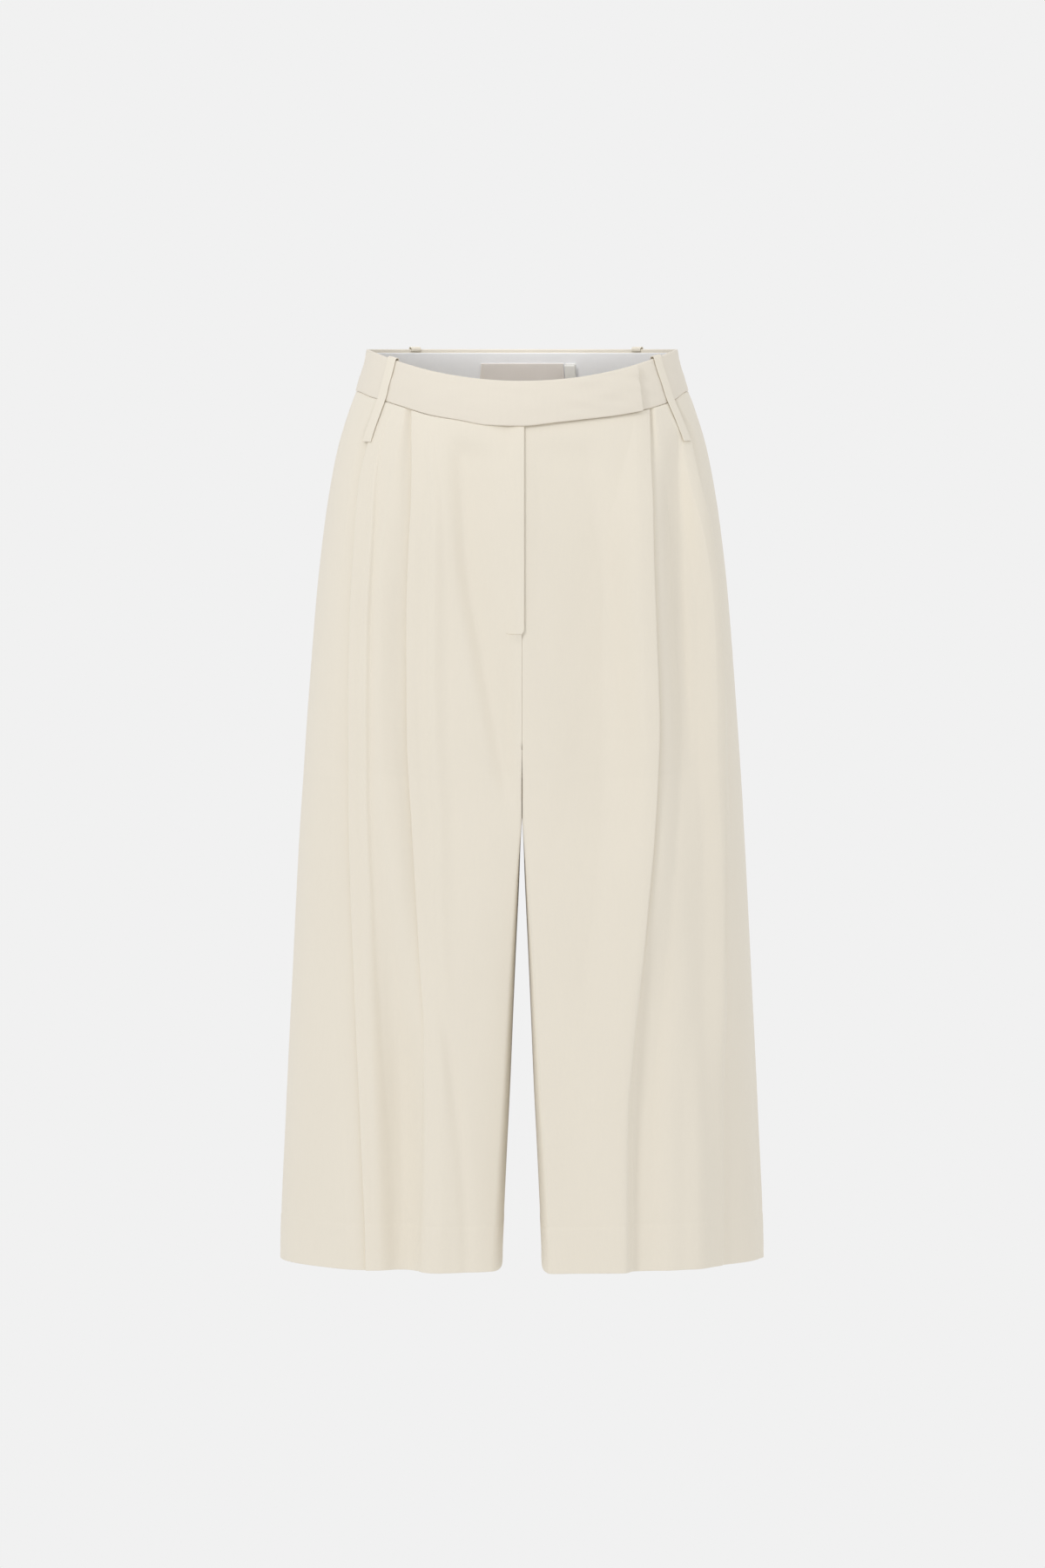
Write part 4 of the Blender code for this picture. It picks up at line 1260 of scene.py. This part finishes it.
class Sewing:
    """A Geometry Nodes group that lays stitches along lines, and the pieces made with it."""

    inputs = (
        ("Pitch", "NodeSocketFloat"),
        ("Length", "NodeSocketFloat"),
        ("Width", "NodeSocketFloat"),
        ("Turn", "NodeSocketFloat"),
        ("Uneven", "NodeSocketFloat"),
        ("Seed", "NodeSocketInt"),
        ("Material", "NodeSocketMaterial"),
    )

    def __init__(self, materials: Materials) -> None:
        """Makes the node group.

        Args:
            materials: Where finishes are kept.
        """
        self.materials = materials
        self.group = bpy.data.node_groups.new("stitches", "GeometryNodeTree")
        face = self.group.interface
        face.new_socket("Geometry", in_out="INPUT", socket_type="NodeSocketGeometry")
        face.new_socket("Geometry", in_out="OUTPUT", socket_type="NodeSocketGeometry")
        self.sockets: dict[str, str] = {}
        for name, kind in self.inputs:
            self.sockets[name] = face.new_socket(name, in_out="INPUT", socket_type=kind).identifier
        self._wire()

    def _wire(self) -> None:
        """Adds and joins the nodes: the line is cut at even steps and each step carries a stitch."""
        node = partial(add_node, self.group)
        given, out = node("NodeGroupInput", {}).outputs, node("NodeGroupOutput", {})
        curve = node("GeometryNodeMeshToCurve", {"Mesh": given["Geometry"]})
        cut = {"Curve": curve.outputs[0], "Length": given["Pitch"]}
        steps = node("GeometryNodeResampleCurve", cut, mode="LENGTH")
        up = node("GeometryNodeInputNamedAttribute", {"Name": "up"}, data_type="FLOAT_VECTOR")
        tangent = node("GeometryNodeInputTangent", {})
        along = node("FunctionNodeAlignRotationToVector", {"Vector": tangent.outputs[0]}, axis="X")
        raised = {"Rotation": along.outputs[0], "Vector": up.outputs["Attribute"]}
        upright = node("FunctionNodeAlignRotationToVector", raised, axis="Z", pivot_axis="X")
        low = node("ShaderNodeMath", {"0": given["Uneven"], "1": -1.0}, operation="MULTIPLY")
        span = {"Min": low.outputs[0], "Max": given["Uneven"], "Seed": given["Seed"]}
        sway = node("FunctionNodeRandomValue", span, data_type="FLOAT")
        sway_value = next(socket for socket in sway.outputs if socket.enabled)
        turned = node("ShaderNodeMath", {"0": given["Turn"], "1": sway_value}, operation="ADD")
        radians = node("ShaderNodeMath", {"0": turned.outputs[0]}, operation="RADIANS")
        spin = node("ShaderNodeCombineXYZ", {"Z": radians.outputs[0]})
        spun = {"Rotation": upright.outputs[0], "Rotate By": spin.outputs[0]}
        rotation = node("FunctionNodeRotateRotation", spun, rotation_space="LOCAL")
        bead = node("GeometryNodeMeshUVSphere", {"Segments": 8, "Rings": 6, "Radius": 0.5})
        flat = node("ShaderNodeMath", {"0": given["Width"], "1": 0.8}, operation="MULTIPLY")
        size = node("ShaderNodeCombineXYZ", {"X": given["Length"], "Y": given["Width"], "Z": flat.outputs[0]})
        stitch = node("GeometryNodeTransform", {"Geometry": bead.outputs["Mesh"], "Scale": size.outputs[0]})
        laid = {"Points": steps.outputs[0], "Instance": stitch.outputs[0], "Rotation": rotation.outputs[0]}
        placed = node("GeometryNodeInstanceOnPoints", laid)
        real = node("GeometryNodeRealizeInstances", {"Geometry": placed.outputs[0]})
        smooth = node("GeometryNodeSetShadeSmooth", {"Geometry": real.outputs[0]})
        dressed = {"Geometry": smooth.outputs[0], "Material": given["Material"]}
        finish = node("GeometryNodeSetMaterial", dressed)
        feed(out, {"Geometry": finish.outputs[0]})

    def sew(self, name: str, lines: list[tuple[Array, Array]], how: Stitching, seed: int) -> bpy.types.Object:
        """Lays stitches along lines.

        Args:
            name: The piece's name.
            lines: Points of each line and the directions out of the cloth there, in metres.
            how: How the line is sewn.
            seed: Seed of the unevenness.

        Returns:
            The stitches, as one plain mesh.
        """
        points = np.concatenate([line for line, _ in lines])
        ups = np.concatenate([up for _, up in lines])
        starts = np.cumsum([0] + [len(line) for line, _ in lines])
        edges = [(i, i + 1) for a, b in zip(starts[:-1], starts[1:]) for i in range(a, b - 1)]
        mesh = bpy.data.meshes.new(f"{name}_line")
        mesh.from_pydata(points.tolist(), edges, [])
        up = mesh.attributes.new("up", "FLOAT_VECTOR", "POINT")
        up.data.foreach_set("vector", ups.reshape(-1).astype(np.float32))
        guide = new_object(f"{name}_line", mesh)
        sewn = guide.modifiers.new("stitches", "NODES")
        sewn.node_group = self.group
        values = {
            "Pitch": how.pitch * MM,
            "Length": how.length * MM,
            "Width": how.width * MM,
            "Turn": how.turn,
            "Uneven": how.uneven,
            "Seed": seed,
            "Material": self.materials.of(THREAD),
        }
        for key, value in values.items():
            sewn[self.sockets[key]] = value
        graph = bpy.context.evaluated_depsgraph_get()
        made = new_object(name, bpy.data.meshes.new_from_object(guide.evaluated_get(graph)))
        bpy.data.objects.remove(guide)
        return made


def lay_on(piece: bpy.types.Object, points: Array, towards: Array, lift: float = 0.08) -> tuple[Array, Array]:
    """Drops points onto the faces of a piece.

    Args:
        piece: The piece.
        points: Points to start from, in metres.
        towards: The direction in which each of them goes.
        lift: How far over the faces they end, in millimetres.

    Returns:
        The points on the piece that were found, and the directions out of it there.
    """
    tree = faces_of(piece)
    found = []
    for point, direction in zip(np.asarray(points), np.broadcast_to(towards, np.shape(points)), strict=True):
        place, normal = tree.ray_cast(Vector(point), Vector(direction))[:2]
        if place is not None:
            normal = normal if normal.dot(Vector(direction)) < 0 else -normal
            found.append((place + normal * lift * MM, normal))
    return np.array([place[:] for place, _ in found]), np.array([normal[:] for _, normal in found])


@dataclass(frozen=True)
class BeltLoop:
    """A long belt loop, folded over the rim and stitched down below the waist seam.

    top and bottom are its angles from the middle, and end is the drop of its lower end. The keys of its
    middle line are drops below the rim, shares of the band's height and shares of the way on to its end,
    each with a lift.
    """

    node: str
    part: Part
    side: Side
    top: float
    bottom: float
    end: float
    width: float = 10.0
    thickness: float = 0.7
    edge_stitch: float = 1.7
    over_rim: Keys = ((2.2, -2.8), (-0.4, -2.85), (-1.6, -1.9), (-1.9, -0.4), (-1.5, 1.1), (1.5, 1.7))
    on_band: Keys = ((0.25, 1.95), (0.6, 2.1), (0.9, 1.85))
    over_panel: Keys = ((0.12, 0.95), (0.35, 0.9), (0.7, 0.85), (0.93, 0.6), (1.0, 0.55))

    def _seam_drop(self) -> float:
        """Drop of the waist seam under the loop."""
        return float(FORM.seam_drop(self.part, self.side.value * math.radians(self.bottom)))

    def _ground(self, tree: BVHTree, drop: float) -> float:
        """How far the panel under the loop stands out at a drop.

        Args:
            tree: The panel's faces.
            drop: The drop.

        Returns:
            The largest lift of the panel across the loop's width.
        """
        far, lifts = 25.0, [0.0]
        for across in np.linspace(-self.width / 2, self.width / 2, 5):
            start, end = (Vector(self.place(drop, lift, drop, across)) for lift in (far, 0.0))
            reach = tree.ray_cast(start, end - start)[3]
            if reach is not None:
                lifts.append(far - reach / MM)
        return max(lifts)

    def place(self, drop: Array, lift: Array, middle: Array, across: Array) -> Array:
        """Puts points of the loop on the garment.

        Args:
            drop: Drops.
            lift: Lifts.
            middle: Drop of the strip's middle line there.
            across: Distances across the strip.

        Returns:
            Points in metres.
        """
        top, bottom = math.radians(self.top), math.radians(self.bottom)
        rim = float(FORM.rim_drop(self.part, top))
        share = np.clip((middle - rim) / (self.end - rim), 0, 1)
        angle = self.side.value * (top + share * (bottom - top))
        beside = angle + across / RINGS.read("half_width", drop)
        tilt = (1 - 0.7 * share) * (FORM.rim_drop(self.part, beside) - FORM.rim_drop(self.part, angle))
        return FORM.waist_point(self.part, angle, drop + tilt, lift, across)

    def run(self, tree: BVHTree) -> Array:
        """The strip's middle line.

        Args:
            tree: The faces of the panel under its lower end.

        Returns:
            Drops and lifts along it.
        """
        rim = float(FORM.rim_drop(self.part, math.radians(self.top)))
        seam = self._seam_drop()
        keys = [(rim + drop, lift) for drop, lift in self.over_rim]
        keys += [(rim + share * (seam - rim), lift) for share, lift in self.on_band]
        for share, gap in self.over_panel:
            drop = seam + share * (self.end - seam)
            keys.append((drop, max(self._ground(tree, drop + 1.5), self._ground(tree, drop)) + gap))
        return spline(np.array(keys), 90)

    def build(self, materials: Materials, panel: bpy.types.Object) -> tuple[bpy.types.Object, list, list]:
        """Makes the loop.

        Args:
            materials: Where finishes are kept.
            panel: The panel that its lower end is sewn to.

        Returns:
            The object, the lines of its edge stitches, and the lines of its two bartacks.
        """
        run = self.run(faces_of(panel))
        normal, length, across = strip_grid(run, self.width, 8)
        thick = self.thickness * round_edge(edge_distance(length, across), 0.6) / 2
        groove = -0.12 * bell(np.abs(across) - self.width / 2 + 1.6, 0.35)
        drop, lift = run[:, :1], run[:, 1:]
        out_drop, out_lift = normal[:, :1], normal[:, 1:]
        proud = thick + groove
        outer = self.place(drop - out_drop * proud, lift + out_lift * proud, drop, across)
        inner = self.place(drop + out_drop * thick, lift - out_lift * thick, drop, across)
        shell = Shell(f"{self.node}_cloth", outer, inner, across * MM, -length[:, None] * MM, CREPE)
        made = shell.build(materials)
        out = outer - inner
        out /= np.linalg.norm(out, axis=2)[:, :, None]
        over = outer + out * 0.02 * MM
        stitched = self.width / 2 - self.edge_stitch
        columns = [int(np.argmin(np.abs(across - place))) for place in (-stitched, stitched)]
        shown = slice(int(np.argmax(run[:, 1] > 0)) + 2, -4)
        edges = [(over[shown, column], out[shown, column]) for column in columns]
        rows = (int(np.argmin(np.abs(run[:, 0] - self._seam_drop() - 3.0))), len(run) - 6)
        return made, edges, [(over[row, 2:-2], out[row, 2:-2]) for row in rows]


LOOPS = (
    BeltLoop("belt_loop_front_right", Part.FRONT, Side.RIGHT, top=55.2, bottom=54.6, end=79.5),
    BeltLoop("belt_loop_front_left", Part.FRONT, Side.LEFT, top=58.8, bottom=60.8, end=79.0),
    BeltLoop("belt_loop_back_right", Part.BACK, Side.RIGHT, top=44.5, bottom=45.5, end=73.0),
    BeltLoop("belt_loop_back_left", Part.BACK, Side.LEFT, top=49.0, bottom=50.0, end=73.0),
)


class SizeTab:
    """A small folded tape beside the label."""

    left = 38.4
    right = 47.4
    thickness = 0.8
    keys = ((12.5, 4.1), (22, 4.3), (31, 4.9), (33, 6.1), (31.5, 7.4), (23, 7.9), (14, 7.6))

    def build(self, materials: Materials) -> bpy.types.Object:
        """Makes the tab.

        Args:
            materials: Where finishes are kept.

        Returns:
            The object.
        """
        run = spline(np.array([(drop, -inside) for drop, inside in self.keys]), 46)
        normal, length, across = strip_grid(run, self.right - self.left, 6)
        thick = self.thickness * round_edge(edge_distance(length, across), 0.4) / 2
        angle = math.asin((self.left + self.right) / 2 / CUT.waist_half)
        faces = []
        for sign in (1, -1):
            drop = run[:, :1] - sign * normal[:, :1] * thick
            lift = run[:, 1:] + sign * normal[:, 1:] * thick
            faces.append(FORM.waist_point(Part.BACK, angle, drop, lift, across))
        return Shell("size_tab_tape", *faces, across * MM, -length[:, None] * MM, WHITE_TAPE).build(materials)


class FlyShield:
    """The strip behind the fly opening."""

    left = -20.0
    right = 14.0
    top = 70.0
    bottom = 244.0
    inside = 1.8
    close = 0.2, 0.5, 1.0

    def build(self, materials: Materials) -> bpy.types.Object:
        """Makes the strip.

        Args:
            materials: Where finishes are kept.

        Returns:
            The object.
        """
        x = near_edges(self.left, self.right, 12, self.close)
        drops = near_edges(self.top, self.bottom, 40, self.close)
        drop = drops[:, None]
        angle = np.arcsin(x / RINGS.read("half_width", drop))
        fold = 0.0
        for side in Side:
            there = np.abs(x) * (np.sign(x) == side.value)
            folds = sum(item.height(there, drop) for item in FOLDS[Part.FRONT, side])
            from_middle = ease((there - LEGS.read("inner", drop)) / Panel.fades_from_middle)
            fold = fold + folds * from_middle * (there > 0)
        thick = CUT.cloth * round_edge(edge_distance(drops, x), 0.5) / 2
        middle = fold - self.inside - CUT.cloth / 2
        outer = FORM.waist_point(Part.FRONT, angle, drop, middle + thick)
        inner = FORM.waist_point(Part.FRONT, angle, drop, middle - thick)
        return Shell("fly_shield_cloth", outer, inner, x * MM, -drop * MM, CREPE).build(materials)


@dataclass(frozen=True)
class Lamp:
    """A square area light that looks at the middle of the garment."""

    name: str
    azimuth: float
    elevation: float
    size: float
    power: float
    distance: float = 4.6
    aim: tuple[float, float, float] = (0.0, 0.0, -0.35)
    tint: tuple[float, float, float] = (1.0, 1.0, 1.0)

    def build(self) -> None:
        """Makes the light."""
        light = bpy.data.lights.new(self.name, "AREA")
        light.shape, light.size, light.energy, light.color = "SQUARE", self.size, self.power, self.tint
        turn, rise = math.radians(self.azimuth), math.radians(self.elevation)
        away = Vector((math.cos(rise) * math.sin(turn), -math.cos(rise) * math.cos(turn), math.sin(rise)))
        holder = new_object(self.name, light)
        holder.location = Vector(self.aim) + away * self.distance
        holder.rotation_euler = (-away).to_track_quat("-Z", "Y").to_euler()


@dataclass(frozen=True)
class Studio:
    """The pale stage, its light and the camera. Places are in metres and angles in degrees."""

    tone: float = 0.8796
    fill: float = 0.71
    lens: float = 163.2
    sensor: float = 36.0
    place: tuple[float, float, float] = (0.0004, -6.2, 0.0)
    pitch: float = 3.5
    lamps: tuple[Lamp, ...] = (
        Lamp("key", azimuth=-36.0, elevation=30.0, size=0.8, power=46.0),
        Lamp("right", azimuth=60.0, elevation=26.0, size=1.0, power=17.0),
        Lamp("bounce", azimuth=0.0, elevation=-18.0, size=1.6, power=8.0, tint=(1.0, 0.86, 0.70)),
    )
    spot_power: float = 84.0
    spot_spread: float = 8.0
    spot_size: float = 0.12
    spot_place: tuple[float, float, float] = (0.0, -1.2, 2.1)
    spot_aim: tuple[float, float, float] = (0.0, 0.1, -0.03)
    floor_starts: float = -1.2
    floor: float = -1.5
    sweep_starts: float = 7.5
    sweep: float = 1.5
    wall_top: float = 9.0
    half_width: float = 14.0

    def build(self) -> None:
        """Makes the backdrop, the lights, the world and the camera."""
        scene = bpy.context.scene
        scene.view_settings.view_transform = "Standard"
        self._backdrop()
        scene.world = bpy.data.worlds.new("soft_studio")
        scene.world.use_nodes = True
        background = scene.world.node_tree.nodes["Background"]
        feed(background, {"Color": (1.0, 1.0, 1.0, 1.0), "Strength": self.fill})
        for lamp in self.lamps:
            lamp.build()
        self._inside_light()
        camera = bpy.data.cameras.new("camera")
        camera.sensor_fit, camera.sensor_height, camera.lens = "VERTICAL", self.sensor, self.lens
        scene.camera = new_object("camera", camera)
        scene.camera.location = self.place
        scene.camera.rotation_euler = (math.radians(90.0 - self.pitch), 0.0, 0.0)

    def _inside_light(self) -> None:
        """A narrow light from above that reaches the inside of the back of the waist."""
        light = bpy.data.lights.new("inside", "SPOT")
        light.energy, light.spot_size, light.spot_blend = self.spot_power, math.radians(self.spot_spread), 0.8
        light.shadow_soft_size = self.spot_size
        holder = new_object("inside", light)
        holder.location = self.spot_place
        aim = Vector(self.spot_aim) - Vector(self.spot_place)
        holder.rotation_euler = aim.to_track_quat("-Z", "Y").to_euler()

    def _backdrop(self) -> None:
        """A floor that sweeps up into a wall, all of one even pale tone."""
        profile = [(self.floor_starts, self.floor)]
        for turn in np.linspace(0, math.pi / 2, 16):
            rise = self.sweep * (1 - math.cos(turn))
            profile.append((self.sweep_starts + self.sweep * math.sin(turn), self.floor + rise))
        profile.append((self.sweep_starts + self.sweep, self.wall_top))
        points = [(x, y, z) for y, z in profile for x in (-self.half_width, self.half_width)]
        faces = [(2 * i, 2 * i + 1, 2 * i + 3, 2 * i + 2) for i in range(len(profile) - 1)]
        mesh = bpy.data.meshes.new("stage")
        mesh.from_pydata(points, [], faces)
        mesh.shade_smooth()
        paper, shader = new_material("stage_paper")
        feed(shader, {
            "Base Color": (0.0, 0.0, 0.0, 1.0),
            "Roughness": 1.0,
            "Specular IOR Level": 0.0,
            "Emission Color": (self.tone, self.tone, self.tone, 1.0),
            "Emission Strength": 1.0,
        })
        mesh.materials.append(paper)
        new_object("stage", mesh)


@dataclass(frozen=True)
class Sheet:
    """The flat cut of a piece, in metres."""

    width: float
    length: float
    area: float | None = None


def hand_over(piece: bpy.types.Object, node: str) -> None:
    """Hangs a piece on the body and hides the part of model.glb that it stands for.

    Args:
        piece: The piece.
        node: The node.
    """
    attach(piece, BODY)
    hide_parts(node)
    log.info("made %s for %s", piece.name, node)


def hem_catch_line(panel: bpy.types.Object, side: Side) -> tuple[Array, Array]:
    """The line inside a panel along which its hem is caught down.

    Args:
        panel: The panel.
        side: Its leg.

    Returns:
        Points on the inner face, and the directions out of it there.
    """
    turn = np.linspace(0, 2 * math.pi, 240, endpoint=False)
    towards = np.stack([np.sin(turn), np.cos(turn), 0 * turn], 1)
    drop = CUT.length - CUT.hem_depth - 0.6
    start = np.broadcast_to(np.array([side.value * CUT.leg_middle, 0.0, -drop]) * MM, towards.shape)
    return lay_on(panel, start, towards, 0.04)


@dataclass(frozen=True)
class Row:
    """A straight row of stitches, in front of the piece that it is laid on."""

    x: tuple[float, float]
    drop: tuple[float, float]
    count: int
    y: float = 0.0

    def lay(self, piece: bpy.types.Object, lift: float) -> tuple[Array, Array]:
        """Drops the row backwards onto a piece.

        Args:
            piece: The piece.
            lift: How far over its faces the row ends.

        Returns:
            The points on the piece, and the directions out of it there.
        """
        across, down = np.linspace(*self.x, self.count), np.linspace(*self.drop, self.count)
        points = np.stack([across, np.full(self.count, self.y), -down], 1) * MM
        return lay_on(piece, points, (0.0, 1.0, 0.0), lift)


FLY_BAR = (
    Row(x=(-11.2, -0.6), drop=(243.6, 243.6), count=24, y=-300.0),
    Row(x=(-13.4, -12.2), drop=(243.2, 243.2), count=8, y=-300.0),
)
LABEL_ENDS = tuple(Row(x=(x, x), drop=(13.4, 33.6), count=20) for x in (-34.6, 35.0))


def sew_on(piece: bpy.types.Object) -> None:
    """Hangs a piece of sewing on the body.

    Args:
        piece: The stitches.
    """
    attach(piece, BODY)
    log.info("sewed %s", piece.name)


def main() -> None:
    """Builds the whole scene."""
    logging.basicConfig(level=logging.INFO, format="%(message)s")
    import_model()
    materials = Materials()
    panels = {(part, side): Panel(part, side).build(materials) for part in Part for side in Side}
    for (part, side), panel in panels.items():
        hand_over(panel, f"{part.name}_{side.name}".lower())
    for node, piece in Waistband().build(materials).items():
        hand_over(piece, node)
    facing = Patch(
        "facing_cloth", left=-1.553, right=1.553, top=3.2, bottom=35.7,
        inside=2.1, thickness=1.0, cloth=LINING, by_angle=True,
    )
    hand_over(facing.build(materials), "waistband_facing")
    label = Patch(
        "label_cloth", left=-36.5, right=36.8, top=12.5, bottom=34.5,
        inside=3.4, thickness=0.8, cloth=LABEL_TAPE,
    ).build(materials)
    hand_over(label, "label")
    hand_over(SizeTab().build(materials), "size_tab")
    hand_over(FlyShield().build(materials), "fly_shield")
    edges, bars = [], []
    for loop in LOOPS:
        piece, loop_edges, loop_bars = loop.build(materials, panels[loop.part, loop.side])
        hand_over(piece, loop.node)
        edges += loop_edges
        bars += loop_bars
    fly = [row.lay(panels[Part.FRONT, Side.RIGHT], 0.0) for row in FLY_BAR]
    ends = [row.lay(label, 0.05) for row in LABEL_ENDS]
    hems = [hem_catch_line(panel, side) for (_, side), panel in panels.items()]
    sewing = Sewing(materials)
    sew_on(sewing.sew("loop_edge_stitches", edges, TOPSTITCH, seed=1))
    sew_on(sewing.sew("loop_bartacks", bars, FINE_BAR, seed=2))
    sew_on(sewing.sew("fly_bartack", fly, BARTACK, seed=3))
    sew_on(sewing.sew("label_end_stitches", ends, TAPE_STITCH, seed=4))
    sew_on(sewing.sew("hem_stitches", hems, BLIND_STITCH, seed=5))
    Studio().build()


if __name__ == "__main__":
    main()
